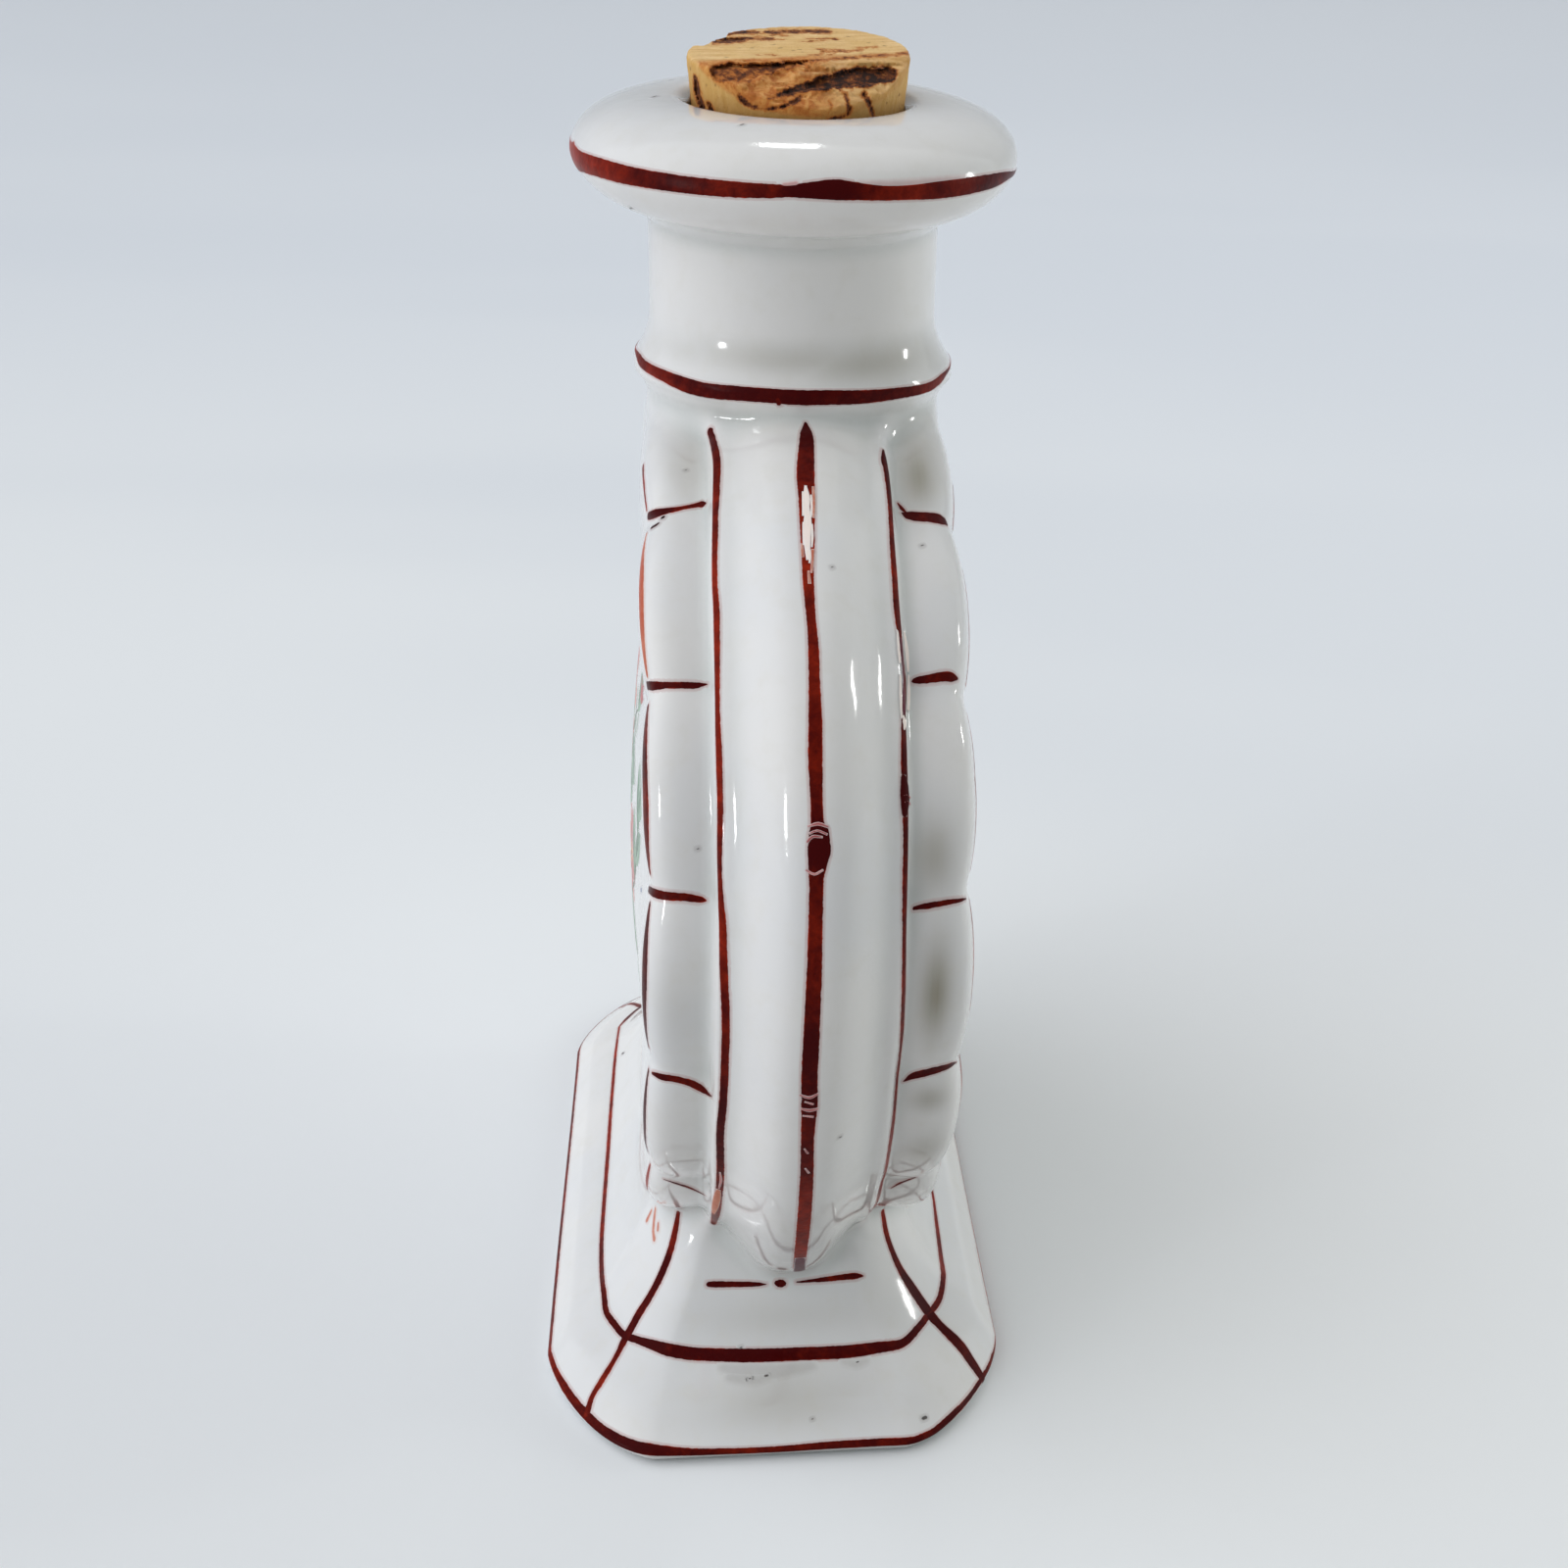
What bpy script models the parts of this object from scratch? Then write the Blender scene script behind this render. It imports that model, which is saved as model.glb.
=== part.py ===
"""Porcelain moon flask: a slip-cast vessel with a lobed moon body on a two-tier pedestal, and its cork stopper.

X runs across the width of the moon, Y through its thickness with the painted front at -Y, and Z up.
The origin is the middle of the underside. Run it with: blender --background --python part.py
"""

import math

import bmesh
import bpy

mm = 0.001

# Moon body
keel_floor_clearance = 2.2 * mm
band_radius = 49.9 * mm
band_half_width = 8.25 * mm
band_edge_slope = 1.4 * mm
band_edge_drop = 1.5 * mm
keel_height = 5.4 * mm
keel_top_share = 0.4
keel_fade_start = math.radians(28)
keel_fade_end = math.radians(72)
lobe_half_thickness = 16.4 * mm
lobe_shoulder = 10.4 * mm
lobe_puff = 0.95 * mm
lobe_first_division = math.radians(61.8)
lobe_pitch = math.radians(24.1)
lobe_side_divisions = 6
lobe_roundness = 4.0
puff_roundness = 2.4
petal_fall = 0.5 * mm

# Round medallion in the middle of each face
medallion_radius = 29.0 * mm
medallion_groove_width = 1.3 * mm
medallion_groove_depth = 1.3 * mm
medallion_edge_rise = 0.9 * mm
medallion_dome = 2.2 * mm

# Hollow
bore_radius = 11.0 * mm
wall = 3.2 * mm
hollow_shoulder_share = 0.5

# Neck, from the moon up to the ring and on to the rim
neck_wall = 4.2 * mm
neck_length = 17.2 * mm
neck_root_swell = 0.7 * mm
neck_root_drop = 4.5 * mm
neck_waist_swell = 0.4 * mm
neck_waist_drop = 2.4 * mm
neck_buried_inset = 2.8 * mm
neck_buried_drop = 12.1 * mm
ring_rise = 1.7 * mm
ring_overhang = 1.9 * mm
ring_depth = 1.5 * mm
ring_flare_height = 5.2 * mm

# Rim and mouth
rim_cove = 1.7 * mm
rim_lower_depth = 4.8 * mm
rim_upper_depth = 5.2 * mm
rim_roll_width = 10.2 * mm
rim_crown_width = 0.9 * mm
rim_crown_drop = 0.4 * mm
rim_roundness = 2.2
rim_under_roundness = 1.7
lip_width = 0.9 * mm
lip_depth = 2.4 * mm

# Pedestal: a foot ring, a sloping lower tier and a hollow-sided upper tier
edge_half_length = 48.6 * mm
edge_half_width = 26.3 * mm
edge_corner_length = 17.0 * mm
edge_corner_width = 12.5 * mm
edge_height = 1.4 * mm
edge_undercut = 0.9 * mm
tier_inset_length = 9.7 * mm
tier_inset_width = 5.9 * mm
tier_corner_length = 12.7 * mm
tier_corner_width = 8.1 * mm
tier_rise = 5.0 * mm
tier_swell = 0.4 * mm
waist_inset_length = 9.4 * mm
waist_inset_width = 7.4 * mm
waist_corner_length = 8.0 * mm
waist_corner_width = 5.6 * mm
waist_buried_height = 4.9 * mm
corner_flatness = 1.3
base_thickness = 3.6 * mm
foot_ring_width = 4.2 * mm
foot_recess = 2.4 * mm

# Cork
cork_length = 22.5 * mm
cork_seat_depth = 15.6 * mm
cork_clearance = 0.3 * mm
cork_edge = 0.5 * mm
cork_taper_share = 0.11
cork_back_slant_share = 0.155
cork_side_slant_share = 0.055
cork_wobble_share = 0.012
cork_chip_drop = 1.0 * mm
cork_chip_setback = 4.6 * mm
cork_chip_slope = math.radians(31)
cork_crease = math.radians(40)

# Facets
lobe_steps = 6
band_steps = 4
shoulder_steps = 5
medallion_steps = 3
hollow_steps = 48
turned_steps = 56
rim_steps = 8
flare_steps = 4
crown_steps = 2
lip_steps = 3
corner_steps = 6
tier_steps = 6
cork_steps = 40
cutter_overrun = 3.0 * mm

# Sizes that follow from those above
body_centre_height = band_radius + keel_height + keel_floor_clearance
lobe_radius = band_radius - band_edge_drop
petal_radius = lobe_radius - lobe_shoulder
groove_radius = medallion_radius + medallion_groove_width
groove_half_thickness = lobe_half_thickness - medallion_groove_depth
medallion_edge_half_thickness = groove_half_thickness + medallion_edge_rise
medallion_half_thickness = medallion_edge_half_thickness + medallion_dome
neck_radius = bore_radius + neck_wall
ring_radius = neck_radius + ring_overhang
mouth_radius = bore_radius + lip_width
rim_crown_radius = mouth_radius + rim_crown_width
ring_height = body_centre_height + band_radius + ring_rise
rim_underside_height = ring_height + neck_length
rim_widest_height = rim_underside_height + rim_lower_depth
rim_top_height = rim_widest_height + rim_upper_depth
mouth_height = rim_top_height - rim_crown_drop
cork_seat_height = mouth_height - lip_depth
tier_height = edge_height + tier_rise
waist_half_length = edge_half_length - tier_inset_length - waist_inset_length
waist_meets_moon_height = body_centre_height - math.sqrt(lobe_radius**2 - waist_half_length**2)
waist_height = waist_meets_moon_height + waist_buried_height

# Half length, half width, and the corners' length and width, of the pedestal's three outlines
edge_sizes = (edge_half_length, edge_half_width, edge_corner_length, edge_corner_width)
tier_sizes = (
    edge_half_length - tier_inset_length,
    edge_half_width - tier_inset_width,
    tier_corner_length,
    tier_corner_width,
)
waist_sizes = (
    waist_half_length,
    edge_half_width - tier_inset_width - waist_inset_width,
    waist_corner_length,
    waist_corner_width,
)


def clear_scene():
    for ob in list(bpy.data.objects):
        bpy.data.objects.remove(ob)


def material(name, colour, roughness, coat=0):
    made = bpy.data.materials.new(name)
    made.use_nodes = True
    shader = made.node_tree.nodes["Principled BSDF"]
    shader.inputs["Base Color"].default_value = (*colour, 1)
    shader.inputs["Roughness"].default_value = roughness
    shader.inputs["Metallic"].default_value = 0
    shader.inputs["Coat Weight"].default_value = coat
    return made


def skin(name, rings, start=None, end=None):
    """A closed solid from rings of points, with a point or a flat face at each end."""
    bm = bmesh.new()
    loops = [[bm.verts.new(p) for p in ring] for ring in rings]
    for here, there in zip(loops, loops[1:]):
        for i in range(len(here)):
            j = (i + 1) % len(here)
            bm.faces.new((here[i], here[j], there[j], there[i]))
    for loop, pole in ((loops[0], start), (loops[-1], end)):
        if pole is None:
            bm.faces.new(loop)
            continue
        tip = bm.verts.new(pole)
        for i in range(len(loop)):
            bm.faces.new((loop[i], loop[(i + 1) % len(loop)], tip))
    bmesh.ops.recalc_face_normals(bm, faces=bm.faces)
    mesh = bpy.data.meshes.new(name)
    bm.to_mesh(mesh)
    bm.free()
    mesh.shade_smooth()
    ob = bpy.data.objects.new(name, mesh)
    bpy.context.collection.objects.link(ob)
    return ob


def form(ob):
    """Marks a solid that only shapes another one."""
    ob.hide_render = True
    ob.display_type = "WIRE"
    return ob


def boolean(ob, other, operation):
    modifier = ob.modifiers.new(other.name, "BOOLEAN")
    modifier.operation = operation
    modifier.solver = "EXACT"
    modifier.object = form(other)


def turned(name, profile, steps):
    """Turns (radius, height) points about the Z axis."""
    turns = [2 * math.pi * i / steps for i in range(steps)]
    return skin(name, [[(r * math.cos(a), r * math.sin(a), z) for a in turns] for r, z in profile])


def quarter(reach_a, reach_b, roundness, steps):
    """Points of a quarter superellipse from (0, reach_b) to (reach_a, 0)."""
    out = []
    for i in range(steps + 1):
        a = math.pi / 2 * i / steps
        out.append((reach_a * math.sin(a) ** (2 / roundness), reach_b * abs(math.cos(a)) ** (2 / roundness)))
    return out


def smooth_step(x):
    x = min(max(x, 0), 1)
    return x * x * (3 - 2 * x)


def keel_share(angle):
    """The keel stands full height round the sides and the foot, and sinks towards the neck."""
    elevation = math.asin(math.sin(angle))
    fade = smooth_step((elevation - keel_fade_start) / (keel_fade_end - keel_fade_start))
    return 1 - (1 - keel_top_share) * fade


def body_columns():
    """(angle, puff) of each column of facets round the moon. Puff is 0 where two lobes meet and 1 mid-lobe."""
    right = [math.pi / 2]
    right += [lobe_first_division - lobe_pitch * k for k in range(lobe_side_divisions)]
    right += [-math.pi / 2]
    edges = right + [-math.pi - a for a in reversed(right[:-1])]
    columns = []
    for start, end in zip(edges, edges[1:]):
        for k in range(lobe_steps):
            share = k / lobe_steps
            columns.append((start + (end - start) * share, 1 - abs(2 * share - 1) ** puff_roundness))
    return columns


def body_section(angle, puff):
    """(y, radius) points of one side of the moon, from the keel's crest over a lobe to the medallion's edge."""
    rise = keel_height * keel_share(angle)
    points = []
    for k in range(band_steps + 1):
        share = k / band_steps
        points.append((band_half_width * share, band_radius + rise * (1 + math.cos(math.pi * share)) / 2))
    sink = lobe_puff * (1 - puff)
    start = band_half_width + band_edge_slope
    reach_y = lobe_half_thickness - sink - start
    reach_r = lobe_radius - sink - petal_radius
    points += [(start + y, petal_radius + r) for y, r in quarter(reach_y, reach_r, lobe_roundness, shoulder_steps)]
    points.append((lobe_half_thickness - petal_fall - sink / 2, (petal_radius + groove_radius) / 2))
    points.append((groove_half_thickness, groove_radius))
    for k in range(medallion_steps):
        share = 1 - k / medallion_steps
        y = medallion_edge_half_thickness + medallion_dome * (1 - share * share)
        points.append((y, medallion_radius * share))
    return points


def moon_body():
    """The moon: keel, band, lobes and medallions in one skin from one face's middle to the other's."""
    columns = body_columns()
    sections = [body_section(angle, puff) for angle, puff in columns]
    rows = len(sections[0])
    order = [(-1, i) for i in range(rows - 1, 0, -1)] + [(1, i) for i in range(rows)]
    rings = []
    for side, i in order:
        ring = []
        for (angle, _), section in zip(columns, sections):
            y, r = section[i]
            ring.append((r * math.cos(angle), side * y, body_centre_height + r * math.sin(angle)))
        rings.append(ring)
    front = (0, -medallion_half_thickness, body_centre_height)
    back = (0, medallion_half_thickness, body_centre_height)
    return skin("porcelain_flask", rings, front, back)


def moon_hollow():
    """The hollow of the moon, a disc with round shoulders about one wall inside the skin."""
    half = groove_half_thickness - wall
    flat = half * hollow_shoulder_share
    arc = quarter(half - flat, lobe_radius - wall - petal_radius, lobe_roundness, shoulder_steps)
    side = [(flat + y, petal_radius + r) for y, r in arc]
    section = [(-y, r) for y, r in reversed(side)] + side
    turns = [2 * math.pi * i / hollow_steps for i in range(hollow_steps)]
    rings = [
        [(r * math.cos(a), y, body_centre_height + r * math.sin(a)) for a in turns] for y, r in section
    ]
    return skin("moon_hollow", rings)


def outline(half_length, half_width, corner_length, corner_width, height):
    """Points once round a rectangle whose corners lie between a chamfer and a round."""
    quadrant = []
    for i in range(corner_steps + 1):
        a = math.pi / 2 * i / corner_steps
        x = half_length - corner_length * (1 - abs(math.cos(a)) ** corner_flatness)
        y = half_width - corner_width * (1 - abs(math.sin(a)) ** corner_flatness)
        quadrant.append((x, y))
    points = []
    for sx, sy, run in ((1, 1, 1), (-1, 1, -1), (-1, -1, 1), (1, -1, -1)):
        points += [(sx * x, sy * y, height) for x, y in quadrant[::run]]
    return points


def blend(start, end, share):
    return [a + (b - a) * share for a, b in zip(start, end)]


def inset(sizes, depth):
    """The sizes of an outline drawn in by a depth. Its corners keep their shape and shrink with it."""
    half_length, half_width, corner_length, corner_width = sizes
    return half_length - depth, half_width - depth, corner_length - depth / 2, corner_width - depth / 2


def upper_tier(height):
    """Sizes of the upper tier's outline, which sweeps in as it rises."""
    share = (height - tier_height) / (waist_height - tier_height)
    return blend(waist_sizes, tier_sizes, (1 - share) ** 2)


def pedestal():
    """A foot edge, a sloping lower tier with a slight swell, and a hollow-sided upper tier."""
    middle = inset(blend(edge_sizes, tier_sizes, 1 / 2), -tier_swell)
    middle_height = (edge_height + tier_height) / 2 + tier_swell
    rings = [
        outline(*inset(edge_sizes, edge_undercut), 0),
        outline(*edge_sizes, edge_height),
        outline(*middle, middle_height),
    ]
    for k in range(tier_steps + 1):
        height = tier_height + (waist_height - tier_height) * k / tier_steps
        rings.append(outline(*upper_tier(height), height))
    return skin("pedestal", rings)


def pedestal_hollow():
    """The hollow of the upper tier, one wall inside it, which opens into the moon's hollow."""
    floor = foot_recess + base_thickness
    rings = []
    for k in range(tier_steps + 1):
        height = floor + (waist_height - floor) * k / tier_steps
        rings.append(outline(*inset(upper_tier(height), wall), height))
    return skin("pedestal_hollow", rings)


def foot_hollow():
    """The shallow recess that leaves the flask standing on a foot ring."""
    inner = inset(edge_sizes, edge_undercut + foot_ring_width)
    return skin("foot_hollow", [outline(*inner, -cutter_overrun), outline(*inner, foot_recess)])


def neck():
    """The neck with its flared ring and thick rounded rim, turned as a solid."""
    profile = [
        (neck_radius - neck_buried_inset, ring_height - neck_buried_drop),
        (neck_radius + neck_root_swell, ring_height - neck_root_drop),
        (neck_radius + neck_waist_swell, ring_height - neck_waist_drop),
        (ring_radius, ring_height - ring_depth / 2),
    ]
    ring_top = ring_height + ring_depth / 2
    for k in range(flare_steps + 1):
        share = k / flare_steps
        profile.append((neck_radius + ring_overhang * (1 - share) ** 2, ring_top + ring_flare_height * share))
    profile.append((neck_radius, rim_underside_height - rim_cove))
    inner = neck_radius + rim_cove
    reach = rim_crown_radius + rim_roll_width - inner
    under = quarter(reach, rim_lower_depth, rim_under_roundness, rim_steps)
    profile += [(inner + r, rim_widest_height - z) for r, z in under]
    over = quarter(rim_roll_width, rim_upper_depth, rim_roundness, rim_steps)
    profile += [(rim_crown_radius + r, rim_widest_height + z) for r, z in reversed(over[:-1])]
    for k in range(1, crown_steps + 1):
        share = k / crown_steps
        profile.append((rim_crown_radius - rim_crown_width * share, rim_top_height - rim_crown_drop * share**2))
    return turned("neck", profile, turned_steps)


def bore():
    """The bore down the neck into the moon, with a rounded mouth."""
    profile = [(bore_radius, body_centre_height + petal_radius)]
    for k in range(lip_steps + 1):
        a = math.pi / 2 * k / lip_steps
        profile.append((mouth_radius - lip_width * math.cos(a), cork_seat_height + lip_depth * math.sin(a)))
    profile.append((mouth_radius, mouth_height + cutter_overrun))
    return turned("bore", profile, turned_steps)


def porcelain_flask():
    flask = moon_body()
    boolean(flask, pedestal(), "UNION")
    boolean(flask, neck(), "UNION")
    boolean(flask, moon_hollow(), "DIFFERENCE")
    boolean(flask, pedestal_hollow(), "DIFFERENCE")
    boolean(flask, bore(), "DIFFERENCE")
    boolean(flask, foot_hollow(), "DIFFERENCE")
    return flask


def cork_radius(height):
    """The cork's radius at a height above its seat, where it is one clearance smaller than the bore."""
    return bore_radius - cork_clearance + cork_taper_share * height


def cork_stopper():
    """A tapered cork about its own axis, with the slanted top and the broken front edge of a cut one."""
    bottom = -cork_seat_depth
    top = bottom + cork_length
    profile = [(cork_radius(bottom) - cork_edge, bottom), (cork_radius(bottom), bottom + cork_edge)]
    profile += [(cork_radius(0), 0), (cork_radius(top), top - cork_edge), (cork_radius(top) - cork_edge, top)]
    cork = turned("cork_stopper", profile, cork_steps)
    for v in cork.data.vertices:
        turn = math.atan2(v.co.y, v.co.x)
        above_seat = max(v.co.z, 0) / top
        v.co.xy *= 1 - cork_wobble_share * above_seat * (1 + math.cos(3 * turn + 1))
        slant = above_seat * above_seat
        v.co.z += slant * (cork_side_slant_share * v.co.y - cork_back_slant_share * v.co.x)
    bm = bmesh.new()
    bm.from_mesh(cork.data)
    edge = (cork_radius(top) - cork_chip_setback, 0, top - cork_chip_drop)
    facing = (math.sin(cork_chip_slope), 0, math.cos(cork_chip_slope))
    whole = bm.verts[:] + bm.edges[:] + bm.faces[:]
    cut = bmesh.ops.bisect_plane(bm, geom=whole, plane_co=edge, plane_no=facing, clear_outer=True)
    bmesh.ops.edgeloop_fill(bm, edges=[e for e in cut["geom_cut"] if isinstance(e, bmesh.types.BMEdge)])
    bmesh.ops.recalc_face_normals(bm, faces=bm.faces)
    bm.to_mesh(cork.data)
    bm.free()
    cork.data.set_sharp_from_angle(angle=cork_crease)
    cork.location = (0, 0, cork_seat_height)
    return cork


def main():
    clear_scene()
    assembly = bpy.data.objects.new("moon_flask", None)
    bpy.context.collection.objects.link(assembly)
    flask = porcelain_flask()
    cork = cork_stopper()
    flask.data.materials.append(material("porcelain_glaze", (0.83, 0.84, 0.84), 0.08, 1))
    cork.data.materials.append(material("natural_cork", (0.52, 0.3, 0.13), 0.85))
    flask.parent = assembly
    cork.parent = assembly


main()
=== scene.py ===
import math

import bpy
import numpy as np
from mathutils import Matrix, Vector
from mathutils.bvhtree import BVHTree
from mathutils.noise import fractal, noise


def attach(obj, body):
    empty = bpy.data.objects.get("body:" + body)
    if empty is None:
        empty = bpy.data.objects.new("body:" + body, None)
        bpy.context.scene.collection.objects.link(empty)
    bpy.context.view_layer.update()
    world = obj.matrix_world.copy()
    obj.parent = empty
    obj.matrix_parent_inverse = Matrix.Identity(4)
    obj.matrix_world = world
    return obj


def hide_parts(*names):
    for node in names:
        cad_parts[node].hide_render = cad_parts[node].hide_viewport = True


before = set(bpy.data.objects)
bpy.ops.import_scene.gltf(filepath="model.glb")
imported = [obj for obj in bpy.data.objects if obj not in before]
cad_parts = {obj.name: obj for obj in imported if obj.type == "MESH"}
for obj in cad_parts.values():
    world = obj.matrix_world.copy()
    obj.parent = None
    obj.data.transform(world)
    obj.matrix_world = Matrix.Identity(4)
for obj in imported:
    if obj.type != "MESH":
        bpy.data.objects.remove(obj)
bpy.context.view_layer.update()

MM = 0.001

# Sizes of the flask, in millimetres
CENTRE = 57.5
BAND_RADIUS = 49.9
BAND_HALF_WIDTH = 8.25
BAND_EDGE_SLOPE = 1.4
KEEL_HEIGHT = 5.4
KEEL_TOP_SHARE = 0.4
KEEL_FADE = (28, 72)
KEEL_FULLNESS = 1.38
LOBE_RADIUS = 48.4
PETAL_RADIUS = 38.0
LOBE_HALF = 16.4
LOBE_PUFF = 0.95
LOBE_SLANT = 0.25
LOBE_POWER = 4.6
BAND_FILLET = 1.7
# The band's own sides: how far past its half width they stand, and how round their edge is
BAND_SIDE = 0.7
BAND_SIDE_FILLET = 1.2
DIVISIONS = (-90, -58.7, -34.6, -10.5, 13.6, 37.7, 61.8, 90)
CREASE_SOFTNESS = 0.07
CREASE_POWER = 2.4
MEDALLION_RADIUS = 29.0
GROOVE_RADIUS = 30.3
GROOVE_HALF = 15.1
MEDALLION_HALF = (16.0, 18.2)
WALL = 3.2
# How broad the rounded edge of the hollow is
HOLLOW_CORNER = 6.5

# (height, half length, half width, corner length, corner width) of the pedestal, up to its upper tier
EDGE = (1.4, 48.6, 26.3, 17.0, 12.5)
TIER = (6.4, 38.9, 20.4, 12.7, 8.1)
WAIST = (24.0, 29.5, 13.0, 8.0, 5.6)
EDGE_UNDERCUT = 0.9
TIER_SWELL = 0.4
CORNER_POWER = 2 / 1.3
FOOT_RING = 4.2
FOOT_RECESS = 2.4
BASE_TOP = 6.0

NECK_RADIUS = 15.2
RING_RADIUS = 17.1
BORE_RADIUS = 11.0
MOUTH_RADIUS = 11.7
MOUTH_HEIGHT = 135.9
SEAT_HEIGHT = 133.5
# Pixels of the photograph to a millimetre of the flask, about
PIXELS = 9.6
LIP_HEIGHT = 1.0
RIM_CROWN = (12.8, 136.3)
RIM_RADIUS = 23.0
RIM_WIDEST = 131.1
RIM_UNDER = (16.9, 126.2)
RIM_TILT = 0.072
RIM_TILT_SPAN = (110, 125)

# The camera, at the photograph's viewpoint
CAMERA_AT = Vector((209.73, -11.11, 156.5)) * MM
CAMERA_YAW = math.radians(3.237)
CAMERA_PITCH = math.radians(24.947)
CAMERA_ROLL = math.radians(1.788)
FOCAL_PIXELS = 1988.2
PICTURE = 1600

forward = Vector((
    -math.cos(CAMERA_YAW) * math.cos(CAMERA_PITCH),
    math.sin(CAMERA_YAW) * math.cos(CAMERA_PITCH),
    -math.sin(CAMERA_PITCH),
))
level = Vector((math.sin(CAMERA_YAW), math.cos(CAMERA_YAW), 0))
upward = level.cross(forward)
right = math.cos(CAMERA_ROLL) * level + math.sin(CAMERA_ROLL) * upward
upward = math.cos(CAMERA_ROLL) * upward - math.sin(CAMERA_ROLL) * level

camera_data = bpy.data.cameras.new("photo_camera")
camera = bpy.data.objects.new("photo_camera", camera_data)
bpy.context.scene.collection.objects.link(camera)
camera_data.sensor_width = 36
camera_data.lens = FOCAL_PIXELS * camera_data.sensor_width / PICTURE
camera_data.clip_start = 0.01
camera.matrix_world = Matrix((
    (right.x, upward.x, -forward.x, CAMERA_AT.x),
    (right.y, upward.y, -forward.y, CAMERA_AT.y),
    (right.z, upward.z, -forward.z, CAMERA_AT.z),
    (0, 0, 0, 1),
))
bpy.context.scene.camera = camera


def pixel_ray(px, py):
    half = PICTURE / 2
    return (forward * FOCAL_PIXELS + right * (px - half) - upward * (py - half)).normalized()


# The flask as one smooth field
def smooth_min(a, b, k):
    h = np.maximum(k - np.abs(a - b), 0) / k
    return np.minimum(a, b) - h * h * (k / 4)


def smooth_max(a, b, k):
    return -smooth_min(-a, -b, k)


def smooth_step(x):
    x = np.clip(x, 0, 1)
    return x * x * (3 - 2 * x)


def softened(values, step, width):
    """A table rounded off by a bell of that width."""
    reach = int(3 * width / step)
    bell = np.exp(-0.5 * (np.arange(-reach, reach + 1) * step / width) ** 2)
    padded = np.pad(values, reach, mode="edge")
    return np.convolve(padded, bell / bell.sum(), mode="valid")


# Half thickness of a face by its distance from the middle, and how much of a lobe's puff it carries
TABLE_GAP = 0.1
FACE_R = np.arange(0, 45, TABLE_GAP)
LOBE_PROFILE = np.array([
    (MEDALLION_RADIUS, 16.0), (GROOVE_RADIUS, 15.0), (31.6, 15.4), (34.2, 16.0), (PETAL_RADIUS, LOBE_HALF),
])
dome = MEDALLION_HALF[0] + (MEDALLION_HALF[1] - MEDALLION_HALF[0]) * (1 - (FACE_R / MEDALLION_RADIUS) ** 2)
petal = np.interp(FACE_R, *LOBE_PROFILE.T)
FACE_HALF = softened(np.where(FACE_R < MEDALLION_RADIUS, dome, petal), TABLE_GAP, 0.35)
FACE_PUFF = softened(np.interp(FACE_R, (GROOVE_RADIUS, PETAL_RADIUS), (0, 1)), TABLE_GAP, 0.6)


# How far each part of the hand-finished piece stands off its axis: (height, shift in Y)
MOON_DRIFT = np.array([
    (22, 1.05), (30, 0.95), (38, 0.87), (48, 0.8), (57, 0.83), (67, 0.95), (76, 0.98), (93, 0.42),
    (105, 0.25),
])
NECK_DRIFT = np.array([(104, 0.3), (109, 0.32), (114, 0.1), (118, 0), (124, -0.15), (130, -0.25)])
FOOT_SHEAR = 0.045
# How much fuller than the other side the lobes of the back are: (height, added thickness)
BACK_FULLNESS = np.array([(30, 0.4), (45, 0.5), (55, 0.3), (66, 0), (78, -0.3), (92, 0)])
# That fullness comes in from this far off the middle plane, over this much more
FULLNESS_FROM, FULLNESS_OVER = 10, 4


def moon(x, y, z):
    y = y - np.interp(z, *MOON_DRIFT.T)
    fuller = np.where(y > 0, np.interp(z, *BACK_FULLNESS.T), 0)
    dz = z - CENTRE
    r = np.hypot(x, dz)
    angle = np.degrees(np.arctan2(dz, np.abs(x)))
    place = np.interp(angle, DIVISIONS, np.arange(len(DIVISIONS)))
    off = 1 - np.abs(2 * (place - np.floor(place)) - 1)
    off = np.minimum(np.sqrt(off * off + CREASE_SOFTNESS**2), 1)
    sink = LOBE_PUFF * (1 - off) ** CREASE_POWER
    ay = np.abs(y)
    ay = ay - fuller * smooth_step((ay - FULLNESS_FROM) / FULLNESS_OVER)
    start = BAND_HALF_WIDTH + BAND_EDGE_SLOPE
    deep = LOBE_HALF - sink - start
    u = np.maximum(ay - start, 0) / deep
    tall = LOBE_RADIUS - sink - PETAL_RADIUS - LOBE_SLANT * np.maximum(1 - u, 0) ** 2
    v = np.maximum(r - PETAL_RADIUS, 0) / tall
    corner = (u**LOBE_POWER + v**LOBE_POWER) ** (1 / LOBE_POWER)
    shoulder = (corner - 1) * (deep * u + tall * v) / (u + v + 1e-6)
    face = ay - np.interp(r, FACE_R, FACE_HALF) + sink * np.interp(r, FACE_R, FACE_PUFF)
    lobes = np.where(r > PETAL_RADIUS, shoulder, face)
    lobes = np.where((r > PETAL_RADIUS) & (u + v < 1e-3), -5, lobes)
    fade = smooth_step((angle - KEEL_FADE[0]) / (KEEL_FADE[1] - KEEL_FADE[0]))
    rise = KEEL_HEIGHT * (1 - (1 - KEEL_TOP_SHARE) * fade)
    turn = np.pi * np.minimum(np.abs(y) / BAND_HALF_WIDTH, 1) ** KEEL_FULLNESS
    crest = BAND_RADIUS + rise * (1 + np.cos(turn)) / 2
    slope = rise * np.pi / (2 * BAND_HALF_WIDTH) * np.sin(turn)
    band = (r - crest) / np.sqrt(1 + slope * slope)
    band = smooth_max(band, ay - BAND_HALF_WIDTH - BAND_SIDE, BAND_SIDE_FILLET)
    return smooth_min(lobes, band, BAND_FILLET)


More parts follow.
